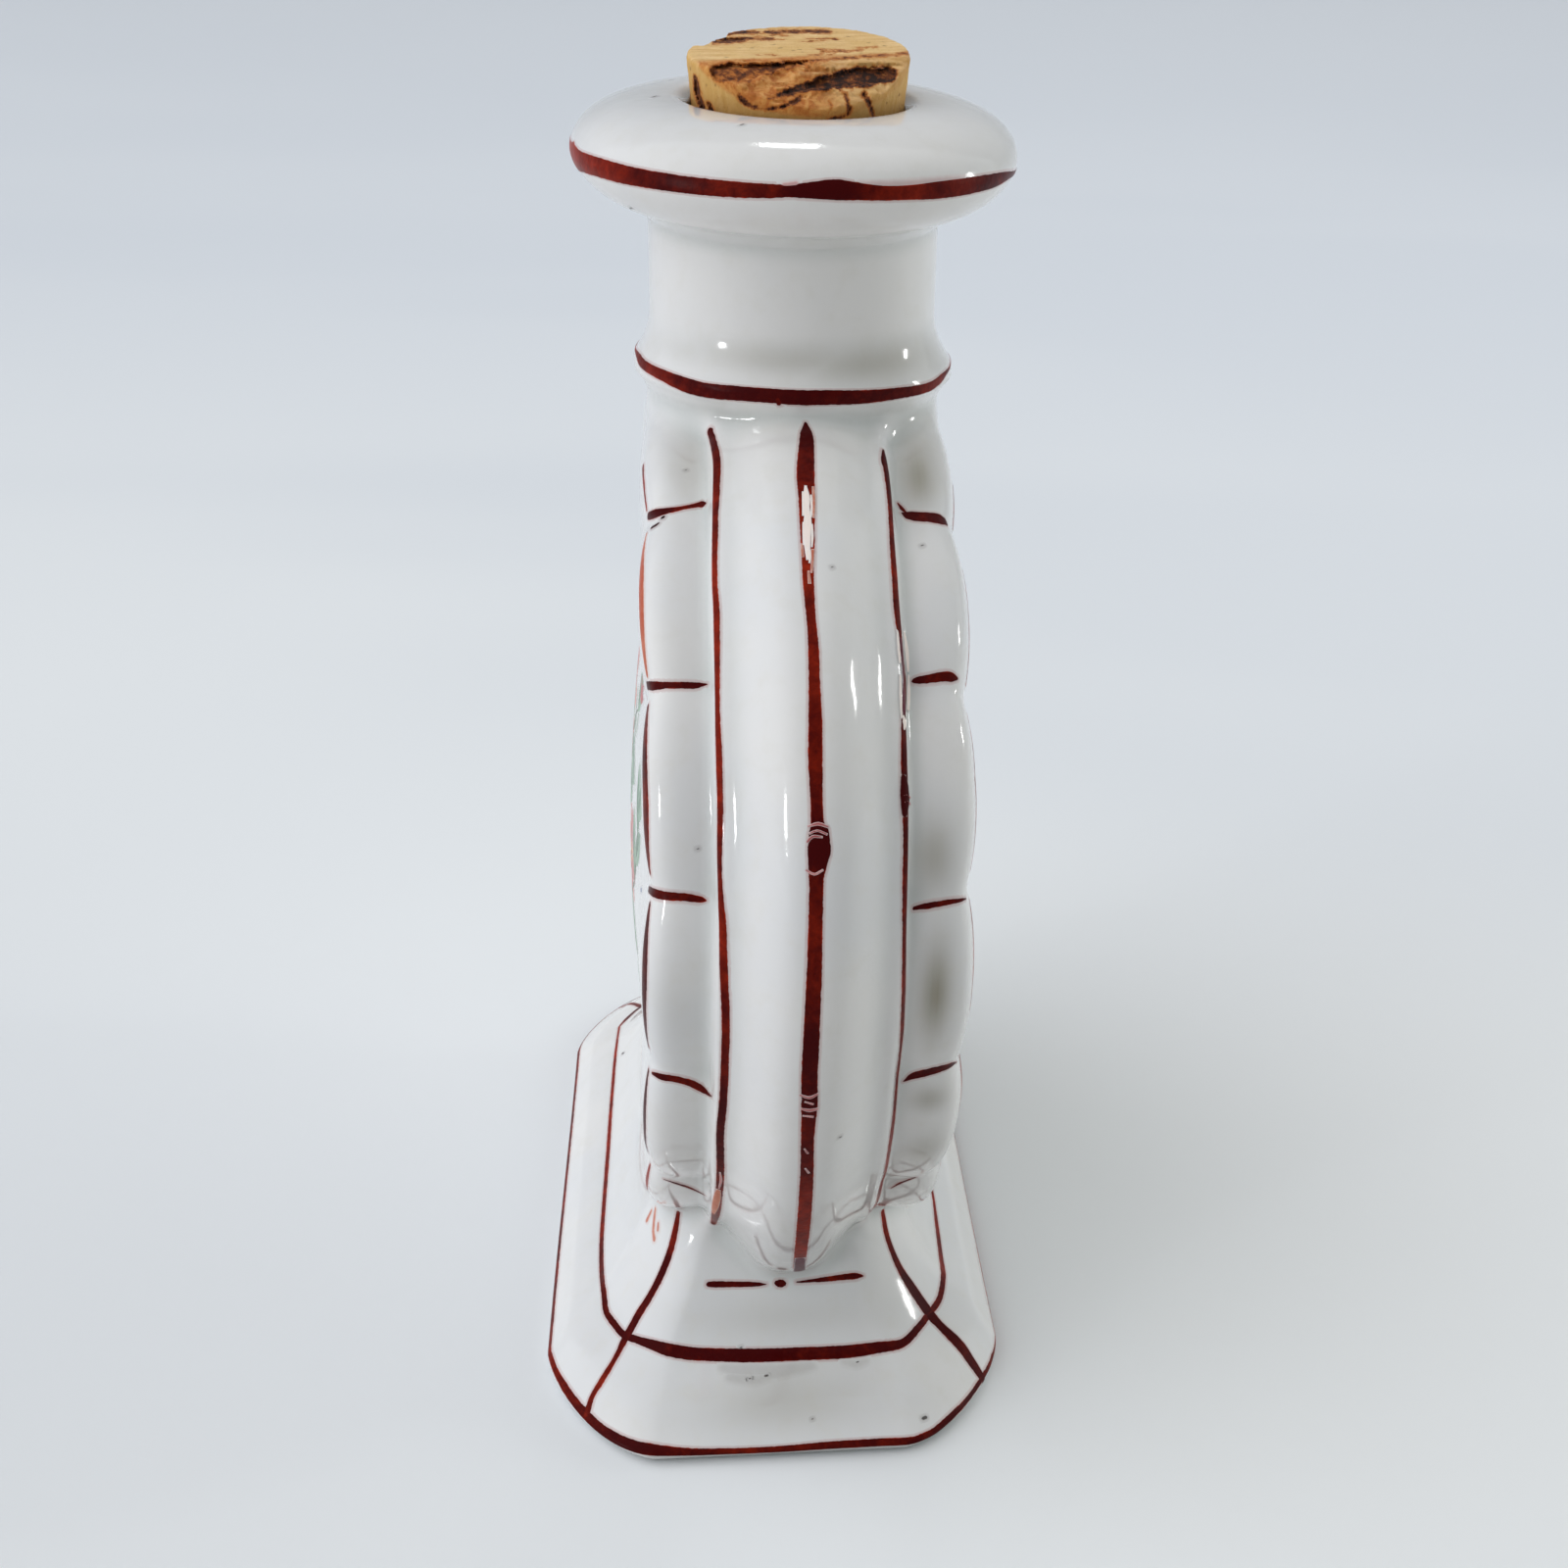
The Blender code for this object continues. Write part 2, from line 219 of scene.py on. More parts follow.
def moon_hollow(x, y, z):
    r = np.hypot(x, z - CENTRE)
    half = GROOVE_HALF - WALL
    u = np.maximum(np.abs(y) - half / 2, 0) / (half / 2)
    v = np.maximum(r - PETAL_RADIUS, 0) / (LOBE_RADIUS - WALL - PETAL_RADIUS)
    round_side = ((u**4 + v**4) ** 0.25 - 1) * HOLLOW_CORNER
    return np.where(r > PETAL_RADIUS, round_side, np.abs(y) - half)


PEDESTAL_Z = np.arange(-4, 27, TABLE_GAP)
FLARE_ROWS = 24


def pedestal_tables(inset):
    """Half length, half width, corner length and corner width of the pedestal by height."""
    heights = [-4, 0, EDGE[0], (EDGE[0] + TIER[0]) / 2 + TIER_SWELL]
    heights += list(np.linspace(TIER[0], WAIST[0], FLARE_ROWS)) + [27]
    flare = (1 - np.linspace(0, 1, FLARE_ROWS)) ** 2
    tables = []
    for i, share in ((1, 1), (2, 1), (3, 0.5), (4, 0.5)):
        low = EDGE[i] - EDGE_UNDERCUT * share
        sizes = [low, low, EDGE[i], (EDGE[i] + TIER[i]) / 2 + TIER_SWELL * share]
        sizes += list(WAIST[i] + (TIER[i] - WAIST[i]) * flare) + [WAIST[i]]
        tables.append(softened(np.interp(PEDESTAL_Z, heights, sizes), TABLE_GAP, 0.3) - inset * share)
    return tables


def pedestal_sides(x, y, z, tables):
    length, width, corner_length, corner_width = (np.interp(z, PEDESTAL_Z, t) for t in tables)
    slope_l, slope_w = (np.interp(z, PEDESTAL_Z, np.gradient(t, TABLE_GAP)) for t in tables[:2])
    ax, ay = np.abs(x), np.abs(y)
    u = np.maximum(ax - length + corner_length, 0) / corner_length
    v = np.maximum(ay - width + corner_width, 0) / corner_width
    rho = (u**CORNER_POWER + v**CORNER_POWER) ** (1 / CORNER_POWER)
    weight = u + v + 1e-6
    side = (rho - 1) * (corner_length * u + corner_width * v) / weight
    side = np.where(rho < 1e-3, np.maximum(ax - length, ay - width), side)
    return side / np.sqrt(1 + (slope_l**2 * u + slope_w**2 * v) / weight)


OUTER_TABLES = pedestal_tables(0)
HOLLOW_TABLES = pedestal_tables(WALL)


def superellipse(reach_a, reach_b, power, steps):
    turn = np.linspace(0, np.pi / 2, steps)
    return reach_a * np.sin(turn) ** (2 / power), reach_b * np.cos(turn) ** (2 / power)


def neck_outline():
    """(radius, height) points round the solid of neck, ring and rim."""
    points = [(0, 97), (12.4, 97), (15.7, 104.6), (15.7, 106.6)]
    points += [(RING_RADIUS - 0.5, 108.0), (RING_RADIUS, 108.6), (RING_RADIUS, 109.6)]
    for share in np.linspace(0.05, 1, 14):
        points.append((NECK_RADIUS + (RING_RADIUS - NECK_RADIUS) * (1 - share) ** 2, 109.9 + 5.2 * share))
    points.append((NECK_RADIUS, RIM_UNDER[1] - 1.7))
    a, b = superellipse(RIM_RADIUS - RIM_UNDER[0], RIM_WIDEST - RIM_UNDER[1], 1.7, 24)
    points += [(RIM_UNDER[0] + r, RIM_WIDEST - h) for r, h in zip(a, b)]
    a, b = superellipse(RIM_RADIUS - RIM_CROWN[0], RIM_CROWN[1] - RIM_WIDEST, 2.2, 24)
    points += [(RIM_CROWN[0] + r, RIM_WIDEST + h) for r, h in zip(a[::-1][1:], b[::-1][1:])]
    for share in np.linspace(0.1, 1, 10):
        radius = RIM_CROWN[0] + (MOUTH_RADIUS - RIM_CROWN[0]) * share
        points.append((radius, RIM_CROWN[1] - (RIM_CROWN[1] - MOUTH_HEIGHT) * share**2))
    points.append((0, MOUTH_HEIGHT))
    return np.array(points)


TABLE_STEP = 0.125
TABLE_R = np.arange(0, 28, TABLE_STEP)
TABLE_Z = np.arange(92, 142, TABLE_STEP)


def turned_table(points):
    """Signed distance to a closed outline of (radius, height) points, on a table."""
    r, h = np.meshgrid(TABLE_R, TABLE_Z, indexing="ij")
    best = np.full(r.shape, 1e9)
    inside = np.zeros(r.shape, bool)
    for (r0, h0), (r1, h1) in zip(points, np.roll(points, -1, 0)):
        if r0 == 0 and r1 == 0:
            continue
        dr, dh = r1 - r0, h1 - h0
        t = np.clip(((r - r0) * dr + (h - h0) * dh) / (dr * dr + dh * dh), 0, 1)
        best = np.minimum(best, (r - r0 - dr * t) ** 2 + (h - h0 - dh * t) ** 2)
        if h0 != h1:
            crosses = (h >= min(h0, h1)) & (h < max(h0, h1)) & (r < r0 + (h - h0) * dr / dh)
            inside ^= crosses
    return np.where(inside, -1, 1) * np.sqrt(best)


NECK_TABLE = turned_table(neck_outline())


def tilted(x, z):
    """The height that a place has on the neck, whose rim dips toward +X."""
    low, high = RIM_TILT_SPAN
    return z + RIM_TILT * x * smooth_step((z - low) / (high - low))


def neck(x, y, z):
    y = y - np.interp(z, *NECK_DRIFT.T)
    z = tilted(x, z)
    rho = np.clip(np.hypot(x, y) / TABLE_STEP, 0, len(TABLE_R) - 1.001)
    up = np.clip((z - TABLE_Z[0]) / TABLE_STEP, 0, len(TABLE_Z) - 1.001)
    i, j = rho.astype(int), up.astype(int)
    a, b = rho - i, up - j
    low = NECK_TABLE[i, j] * (1 - b) + NECK_TABLE[i, j + 1] * b
    high = NECK_TABLE[i + 1, j] * (1 - b) + NECK_TABLE[i + 1, j + 1] * b
    return low * (1 - a) + high * a


# Fillets, in millimetres: of the sole, the pedestal's top, the moon on the pedestal and the neck on the moon
SOLE_FILLET, TOP_FILLET, MOON_FILLET, NECK_FILLET = 0.7, 1, 2.2, 2.0
# Inside: between moon and pedestal, round the bore's end, and on every edge where the hollow opens
HOLLOW_FILLET, BORE_FILLET, OPENING_FILLET = 2, 1, 0.5


def drift(x, y, z):
    """The slight lean and undulation of a slip-cast piece."""
    y = y + 0.12 * np.sin(z / 17 + 1.0) + 0.08 * np.sin(x / 13 + z / 29)
    x = x + 0.10 * np.sin(z / 21 + y / 15)
    return x, y, z


def field(points):
    """Below 0 in the porcelain. Points are in millimetres."""
    x, y, z = drift(points[..., 0], points[..., 1], points[..., 2])
    body = moon(x, y, z)
    foot = pedestal_sides(x + FOOT_SHEAR * y, y, z, OUTER_TABLES)
    foot = smooth_max(foot, -z, SOLE_FILLET)
    foot = smooth_max(foot, z - WAIST[0], TOP_FILLET)
    solid = smooth_min(body, foot, MOON_FILLET)
    solid = smooth_min(solid, neck(x, y, z), NECK_FILLET)
    chamber = np.maximum(BASE_TOP - z, z - WAIST[0])
    chamber = np.maximum(pedestal_sides(x, y, z, HOLLOW_TABLES), chamber)
    hollow = smooth_min(moon_hollow(x, y, z), chamber, HOLLOW_FILLET)
    rho = np.hypot(x, y - np.interp(z, *NECK_DRIFT.T))
    lip = np.clip((tilted(x, z) - MOUTH_HEIGHT + LIP_HEIGHT) / LIP_HEIGHT, 0, 1)
    bore = BORE_RADIUS + (MOUTH_RADIUS - BORE_RADIUS) * (1 - np.sqrt(1 - lip**2))
    bore = np.maximum(rho - bore, CENTRE + PETAL_RADIUS - z)
    hollow = smooth_min(hollow, bore, BORE_FILLET)
    recess = pedestal_sides(x, y, np.full_like(z, 0.5), OUTER_TABLES) + FOOT_RING
    hollow = np.minimum(hollow, np.maximum(recess, z - FOOT_RECESS))
    return smooth_max(solid, -hollow, OPENING_FILLET)


def slope_of(points, solid=field, reach=0.05):
    out = np.empty_like(points)
    for axis in range(3):
        step = np.zeros(3)
        step[axis] = reach
        out[:, axis] = (solid(points + step) - solid(points - step)) / (2 * reach)
    return out


def onto_surface(points, rounds, solid=field):
    for _ in range(rounds):
        slope = slope_of(points, solid)
        size = (slope * slope).sum(1)
        step = solid(points) / np.maximum(size, 0.05)
        points = points - slope * np.clip(step, -0.4, 0.4)[:, None]
    return points


def surface_net(low, high, step, solid=field):
    """Vertices and quads over the zero surface of the field, one vertex in each cell that it crosses."""
    axes = [np.arange(a, b + step, step) for a, b in zip(low, high)]
    shape = [len(a) for a in axes]
    inside = np.empty(shape, bool)
    for i, x in enumerate(axes[0]):
        y, z = np.meshgrid(axes[1], axes[2], indexing="ij")
        inside[i] = solid(np.stack([np.full_like(y, x), y, z], -1)) < 0
    count = np.zeros([n - 1 for n in shape], np.int8)
    for corner in np.ndindex(2, 2, 2):
        count += inside[tuple(slice(c, n - 1 + c) for c, n in zip(corner, shape))]
    mixed = (count > 0) & (count < 8)
    number = np.full(mixed.shape, -1, np.int64)
    cells = np.argwhere(mixed)
    number[mixed] = np.arange(len(cells))
    points = cells * step + np.array([a[0] for a in axes]) + step / 2
    quads = []
    for axis in range(3):
        b, c = (axis + 1) % 3, (axis + 2) % 3
        ahead = np.moveaxis(inside, (axis, b, c), (0, 1, 2))
        index = np.moveaxis(number, (axis, b, c), (0, 1, 2))
        here, there = ahead[:-1, 1:-1, 1:-1], ahead[1:, 1:-1, 1:-1]
        spots = np.argwhere(here != there)
        i, j, k = spots.T
        ring = np.stack([index[i, j, k], index[i, j + 1, k], index[i, j + 1, k + 1], index[i, j, k + 1]], 1)
        outward = here[i, j, k]
        quads.append(np.where(outward[:, None], ring, ring[:, ::-1]))
    return points, np.concatenate(quads)


def relaxed(points, quads, share, solid=field):
    """Evens out the vertices along the surface."""
    a = quads.ravel()
    b = np.roll(quads, -1, 1).ravel()
    count = np.bincount(a, minlength=len(points)) + np.bincount(b, minlength=len(points))
    mean = np.empty_like(points)
    for axis in range(3):
        total = np.bincount(a, points[b, axis], len(points)) + np.bincount(b, points[a, axis], len(points))
        mean[:, axis] = total / count
    slope = slope_of(points, solid)
    normal = slope / (np.linalg.norm(slope, axis=1, keepdims=True) + 1e-9)
    move = mean - points
    return points + share * (move - normal * (move * normal).sum(1, keepdims=True))


def settled(low, high, step, rounds, passes, share, solid=field):
    """Evenly spread points on the zero surface of a field, and their quads."""
    points, quads = surface_net(low, high, step, solid)
    points = onto_surface(points, rounds, solid)
    for _ in range(passes):
        points = onto_surface(relaxed(points, quads, share, solid), 1, solid)
    return points, quads


def mesh_piece(name, points, faces):
    mesh = bpy.data.meshes.new(name)
    mesh.from_pydata(points, [], faces)
    mesh.shade_smooth()
    ob = bpy.data.objects.new(name, mesh)
    bpy.context.scene.collection.objects.link(ob)
    return ob


def add_values(mesh, label, kind, values):
    """A new attribute with one value for each vertex."""
    made = mesh.attributes.new(label, kind, "POINT")
    key = {"FLOAT": "value", "FLOAT_VECTOR": "vector", "FLOAT_COLOR": "color"}[kind]
    made.data.foreach_set(key, np.asarray(values, np.float32).ravel())


# The lowest and highest corner of the box round the flask, in millimetres
FLASK_BOX = (-57, -28, -1.2), (57, 28, 138)
NET_STEP = 0.55
net_points, net_quads = settled(*FLASK_BOX, NET_STEP, rounds=3, passes=2, share=0.6)
flask = mesh_piece("porcelain_body", net_points * MM, net_quads.tolist())


# Materials
class Graph:
    """The nodes of a material or of the world, added in few words."""

    def __init__(self, owner):
        owner.use_nodes = True
        self.owner = owner
        self.nodes = owner.node_tree.nodes
        self.links = owner.node_tree.links

    def node(self, kind, *values, named=(), **settings):
        """A new node. Values go to its first inputs, and named ones to the inputs of that name or number."""
        made = self.nodes.new("ShaderNode" + kind)
        for key, value in settings.items():
            setattr(made, key, value)
        for key, value in (*enumerate(values), *dict(named).items()):
            self.feed(made.inputs[key], value)
        return made

    def feed(self, target, value):
        if isinstance(value, bpy.types.NodeSocket):
            self.links.new(value, target)
        else:
            target.default_value = value

    def shade(self, inputs):
        """Sets the surface's own inputs."""
        for name, value in inputs.items():
            self.feed(self.nodes["Principled BSDF"].inputs[name], value)

    def math(self, operation, a, b=0.0, clamp=False):
        return self.node("Math", a, b, operation=operation, use_clamp=clamp).outputs[0]

    def times(self, a, b):
        return self.math("MULTIPLY", a, b)

    def plus(self, a, b, clamp=False):
        return self.math("ADD", a, b, clamp)

    def minus(self, a, b):
        return self.math("SUBTRACT", a, b)

    def between(self, value, low, high, out_low=0.0, out_high=1.0, smooth=True):
        """The value's place from low to high, read out as a number from out_low to out_high."""
        kind = "SMOOTHSTEP" if smooth else "LINEAR"
        return self.node("MapRange", value, low, high, out_low, out_high, interpolation_type=kind).outputs[0]

    def mix(self, share, a, b, blend="MIX"):
        return self.node("Mix", named={0: share, 6: a, 7: b}, data_type="RGBA", blend_type=blend).outputs[2]

    def noise(self, scale, detail=2.0, rough=0.5, distortion=0.0, where=None):
        inputs = {"Scale": scale, "Detail": detail, "Roughness": rough, "Distortion": distortion}
        return self.node("TexNoise", where or self.place(), named=inputs).outputs["Fac"]

    def swing(self, much, *noise):
        """Noise that goes this much from its lowest to its highest, about 0."""
        return self.times(self.minus(self.noise(*noise), 0.5), much)

    def cells(self, scale, where):
        return self.node("TexVoronoi", where, named={"Scale": scale, "Randomness": 1.0}, feature="F1").outputs

    def place(self):
        """The rest position in millimetres."""
        if not hasattr(self, "millimetres"):
            at = self.node("TexCoord").outputs["Object"]
            scaled = self.node("VectorMath", at, named={"Scale": 1 / MM}, operation="SCALE")
            self.millimetres = scaled.outputs[0]
        return self.millimetres

    def stretched(self, x, y, z):
        return self.node("VectorMath", self.place(), (x, y, z), operation="MULTIPLY").outputs[0]

    def parts(self, vector):
        return self.node("SeparateXYZ", vector).outputs

    def attribute(self, name):
        return self.node("Attribute", attribute_name=name).outputs

    def bump(self, height, distance, below=None):
        """The normal over a relief this many millimetres deep, on another relief or on the plain surface."""
        inputs = {"Strength": 1.0, "Distance": distance * MM, "Height": height}
        if below is not None:
            inputs["Normal"] = below
        return self.node("Bump", named=inputs).outputs[0]

    def direct(self):
        """1 for rays from the camera, off a gloss and through glass, and 0 for light that falls on things."""
        ray = self.node("LightPath").outputs
        indirect = self.math("MAXIMUM", ray["Is Glossy Ray"], ray["Is Transmission Ray"])
        return self.math("MAXIMUM", ray["Is Camera Ray"], indirect)


def srgb(*values):
    return tuple(v / 255 / 12.92 if v <= 10 else ((v / 255 + 0.055) / 1.055) ** 2.4 for v in values) + (1,)


def glazed_porcelain():
    """White glaze with brushed enamel wherever a mesh carries the brush attributes."""
    g = Graph(bpy.data.materials.new("glazed_porcelain"))
    cloud = g.noise(0.035, 3, 0.55)
    fine = g.noise(0.35, 3, 0.6)
    white = g.mix(g.between(cloud, 0.35, 0.68), srgb(234, 234, 231), srgb(227, 229, 229))
    white = g.mix(g.between(fine, 0.45, 0.8, 0, 0.35), white, srgb(224, 223, 215))
    # Glaze gathered in hollows, and painted shade there: greyer in creases and joints
    pooled_and_shade = g.times(g.attribute("pooled_and_shade")["Fac"], 0.75)
    white = g.mix(pooled_and_shade, white, srgb(196, 203, 199))
    # Painted shade: olive-grey where the glaze lies in shade, and a painted shadow round the mouth
    white = g.mix(g.attribute("painted_shade")["Fac"], white, srgb(140, 134, 110))
    specks = g.cells(0.16, g.place())
    rare = g.math("GREATER_THAN", g.node("SeparateColor", specks["Color"]).outputs[0], 0.72)
    speck = g.times(g.between(specks["Distance"], 0.012, 0.028, 1, 0), rare)
    white = g.mix(g.times(speck, 0.75), white, srgb(96, 84, 70))

    ink, load, soft = g.parts(g.attribute("brush")["Vector"])
    thick, thin = g.attribute("thick"), g.attribute("thin")["Color"]
    strength = thick["Alpha"]
    inked = g.math("GREATER_THAN", ink, 0.02)
    edge = g.plus(ink, g.swing(0.20, 1.6, 4, 0.65))
    mask = g.times(g.between(edge, g.minus(0.50, soft), g.plus(0.53, soft)), inked)
    depth = g.plus(load, g.swing(0.85, 1.0, 5, 0.7, 0.6))
    depth = g.plus(depth, g.swing(1.0, 0.24, 3, 0.6))
    patchy_edge = g.times(g.between(ink, 0.5, 0.66, -0.75, 0.0), g.between(g.noise(0.3, 3, 0.6), 0.45, 0.62))
    depth = g.plus(depth, patchy_edge, True)
    depth = g.minus(1.0, g.math("POWER", g.minus(1.0, depth), 1.8))
    enamel = g.mix(depth, thin, thick["Color"])
    fleck = g.times(g.between(g.noise(2.4, 3, 0.7), 0.71, 0.76), g.between(load, 0.25, 0.75, 0.7, 0.0))
    enamel = g.mix(fleck, enamel, thin)
    bleed = g.times(g.times(g.between(edge, 0.05, 0.5, 0, 0.34), g.times(strength, strength)), inked)
    painted = g.times(mask, strength)
    normal = g.bump(g.noise(0.28, 2, 0.5), 0.035)
    orange_peel = g.times(g.noise(2.0, 3, 0.6), g.between(g.noise(0.11, 2, 0.5), 0.40, 0.62, 0.12, 1.0))
    normal = g.bump(orange_peel, 0.012, normal)
    g.shade({
        "Base Color": g.mix(painted, g.mix(bleed, white, thin), enamel),
        "Roughness": g.between(painted, 0, 1, 0.10, 0.3, False),
        "Specular IOR Level": g.between(painted, 0, 1, 0.5, 0.06, False),
        "Coat Weight": g.between(painted, 0, 1, 0.5, 0.0, False),
        "IOR": 1.52,
        "Coat Roughness": 0.03,
        "Normal": g.bump(g.times(painted, g.plus(g.noise(1.8, 3, 0.6), 0.6)), 0.03, normal),
    })
    return g.owner


porcelain = glazed_porcelain()


# Enamel brush strokes
# Each pigment's colour where it lies thick and where it lies thin
RED = (srgb(66, 2, 3), srgb(172, 46, 18))
DARK_RED = (srgb(34, 4, 8), srgb(112, 22, 24))
PINK = (srgb(150, 50, 56), srgb(214, 150, 148))
ORANGE = (srgb(178, 72, 40), srgb(214, 140, 112))
SOOT = (srgb(92, 84, 72), srgb(160, 152, 142))
SPECK = (srgb(30, 22, 20), srgb(90, 70, 60))
MAUVE = (srgb(88, 26, 42), srgb(156, 92, 106))
# Near-white, for painted highlights on the enamel
GLINT_WHITE = (srgb(255, 240, 230), srgb(255, 248, 242))

rest_tree = BVHTree.FromPolygons([tuple(p) for p in net_points * MM], [tuple(q) for q in net_quads.tolist()])
strips = {}
strokes = []


def unit(vectors):
    return vectors / (np.linalg.norm(vectors, axis=-1, keepdims=True) + 1e-12)


def smooth_path(knots, step, measure=3):
    """Rows along a curve through the knots. The first numbers of a row are its place, and set the spacing."""
    knots = np.asarray(knots, float)
    if len(knots) == 2:
        knots = np.array([knots[0], (knots[0] + knots[1]) / 2, knots[1]])
    ends = np.vstack([2 * knots[0] - knots[1], knots, 2 * knots[-1] - knots[-2]])
    rows = []
    for a, b, c, d in zip(ends, ends[1:], ends[2:], ends[3:]):
        count = max(2, int(np.linalg.norm((c - b)[:measure]) / step) + 1)
        t = np.linspace(0, 1, count, endpoint=False)[:, None]
        square, cube = 2 * a - 5 * b + 4 * c - d, 3 * b - a - 3 * c + d
        rows.append(0.5 * (2 * b + (c - a) * t + square * t * t + cube * t**3))
    rows.append(knots[-1:])
    return np.vstack(rows)


# How far enamel bleeds past a stroke's edge, in millimetres. Flecks lie on other lines and end at their edges
HALO = 0.5
FLECK_HALO = 0.06
# How far the flecks lie above the lines that they cover, in millimetres
OVERLAY = 0.04
# Rows past an open stroke's end, as shares of its halo
END_ROWS = (0.9, 0.55, 0.3, 0.12)
# How far a strip lies above the glaze, how much higher each of five lies, and how thick its enamel is
STRIP_LIFT, STRIP_LAYER, STRIP_BODY = 0.030, 0.004, 0.05
# How deep a strip's open edges and its underside lie in the glaze
STRIP_EDGE, STRIP_UNDER = -0.05, 0.14
# Places across a strip as shares of its half width, and those of them that its underside has too
ACROSS = np.array([-1.55, -1.1, -1.0, -0.8, -0.4, 0, 0.4, 0.8, 1.0, 1.1, 1.55])
UNDER_COLUMNS = [0, 3, 5, 7, 10]


class Stroke:
    """One brush stroke: where it runs, how wide it is and what it is painted with, in millimetres."""

    def __init__(self, group, centres, half, pigment, load, strength, soft, closed):
        self.group = group
        self.centres = np.asarray(centres, float)
        self.half = np.maximum(np.asarray(half, float), 0.05)
        self.load = np.broadcast_to(np.asarray(load, float), self.half.shape)
        self.strength = np.broadcast_to(np.asarray(strength, float), self.half.shape)
        self.pigment = pigment
        self.soft = soft
        self.closed = closed
        self.halo = FLECK_HALO if group == "enamel_flecks_and_glints" else HALO

    def way(self):
        """The way that the stroke runs at each row."""
        if self.closed:
            return unit(np.roll(self.centres, -1, 0) - np.roll(self.centres, 1, 0))
        return unit(np.gradient(self.centres, axis=0))

    def add_ends(self):
        """Adds rows past both ends of an open stroke, and notes how far past each row lies."""
        self.past = np.zeros(len(self.centres))
        if self.closed:
            return
        way = self.way()
        beyond = np.array([min(self.half[0], 0.5) + self.halo * r for r in END_ROWS])
        head = self.centres[0] - way[0] * beyond[:, None]
        tail = self.centres[-1] + way[-1] * beyond[::-1, None]
        self.past = np.concatenate([beyond, self.past, beyond[::-1]])
        self.centres = np.vstack([head, self.centres, tail])
        for name in ("half", "load", "strength"):
            values = getattr(self, name)
            setattr(self, name, np.pad(values, len(beyond), mode="edge"))


def stroke(group, centres, half, pigment, load=0.6, strength=1.0, soft=0.0, closed=False):
    strokes.append(Stroke(group, centres, half, pigment, load, strength, soft, closed))


def together(rows, work):
    """Does the same work on many short arrays as one long one."""
    done = work(np.vstack(rows))
    return np.split(done, np.cumsum([len(r) for r in rows])[:-1])


def lay_strokes():
    """Settles every stroke on the glaze, as a closed strip a little above it."""
    for rounds in (3, 2):
        places = together([s.centres for s in strokes], lambda p: onto_surface(p, rounds))
        for s, centres in zip(strokes, places):
            s.centres = centres
            if rounds == 3:
                s.add_ends()
    outs = together([s.centres for s in strokes], lambda p: unit(slope_of(p)))
    flats = []
    for s, normal in zip(strokes, outs):
        side = unit(np.cross(normal, s.way()))
        beyond = np.maximum(np.abs(ACROSS) - 1, 0) / (ACROSS[-1] - 1) * s.halo * 1.15
        s.offsets = np.sign(ACROSS) * (np.minimum(np.abs(ACROSS), 1) * s.half[:, None] + beyond)
        flats.append((s.centres[:, None] + side[:, None] * s.offsets[..., None]).reshape(-1, 3))
    flats = together(flats, lambda p: onto_surface(p, 2))
    outs = together(flats, lambda p: unit(slope_of(p)))
    for s, flat, normals in zip(strokes, flats, outs):
        lay_strip(s, flat, normals)


def lay_strip(s, flat, normals):
    """Adds one stroke's closed strip to its group: points, faces, brush values, colours and normals."""
    edge = np.hypot(s.offsets, s.past[:, None]) - s.half[:, None]
    ink = np.clip(0.5 - edge, 0, 1).ravel()
    count = len(strips.setdefault(s.group, []))
    rows, wide = edge.shape
    strength = np.repeat(s.strength, wide)
    over = OVERLAY if s.group == "enamel_flecks_and_glints" else 0
    body = STRIP_BODY * smooth_step((ink - 0.42) / 0.2) * strength
    outer = np.zeros(edge.shape, bool)
    outer[:, [0, -1]] = True
    if not s.closed:
        outer[[0, -1]] = True
    outer = outer.ravel()
    height = np.where(outer, STRIP_EDGE, over + STRIP_LIFT + STRIP_LAYER * (count % 5) + body)
    ink = np.where(outer, 0, ink)
    top = flat + normals * height[:, None]
    index = np.arange(rows * wide).reshape(rows, wide)
    inner = index[:, UNDER_COLUMNS].ravel()
    points = np.vstack([top, flat[inner] - normals[inner] * STRIP_UNDER])
    low = rows * wide + np.arange(len(inner)).reshape(rows, -1)
    if s.closed:
        index, low = np.vstack([index, index[:1]]), np.vstack([low, low[:1]])
    faces = []
    for grid, flip in ((index, False), (low, True)):
        quad = np.stack([grid[:-1, :-1], grid[1:, :-1], grid[1:, 1:], grid[:-1, 1:]], -1).reshape(-1, 4)
        faces += (quad[:, ::-1] if flip else quad).tolist()
    for end, flip in ((0, False), (-1, True)):
        upper, lower = index[:, end], low[:, end]
        quad = np.stack([upper[:-1], lower[:-1], lower[1:], upper[1:]], 1)
        faces += (quad[:, ::-1] if flip else quad).tolist()
    if not s.closed:
        for row, flip in ((0, True), (-1, False)):
            ring = list(index[row]) + list(low[row][::-1])
            faces.append(ring[::-1] if flip else ring)
    brush = np.stack([ink, np.repeat(s.load, wide), np.full(len(ink), s.soft)], 1)
    brush = np.vstack([brush, np.zeros((len(inner), 3))])
    colours = [np.tile(tone, (len(points), 1)) for tone in s.pigment]
    colours[0][: len(top), 3] = strength
    strips[s.group].append((points, faces, brush, *colours, np.vstack([normals, -normals[inner]])))


# A longer step than this between rays a few pixels apart, in millimetres, is one past an edge
LEAP = 3.5
# A line that is seen nearly end on isn't made wider than it would be at this share of its full view
LEAST_VIEW = 0.35


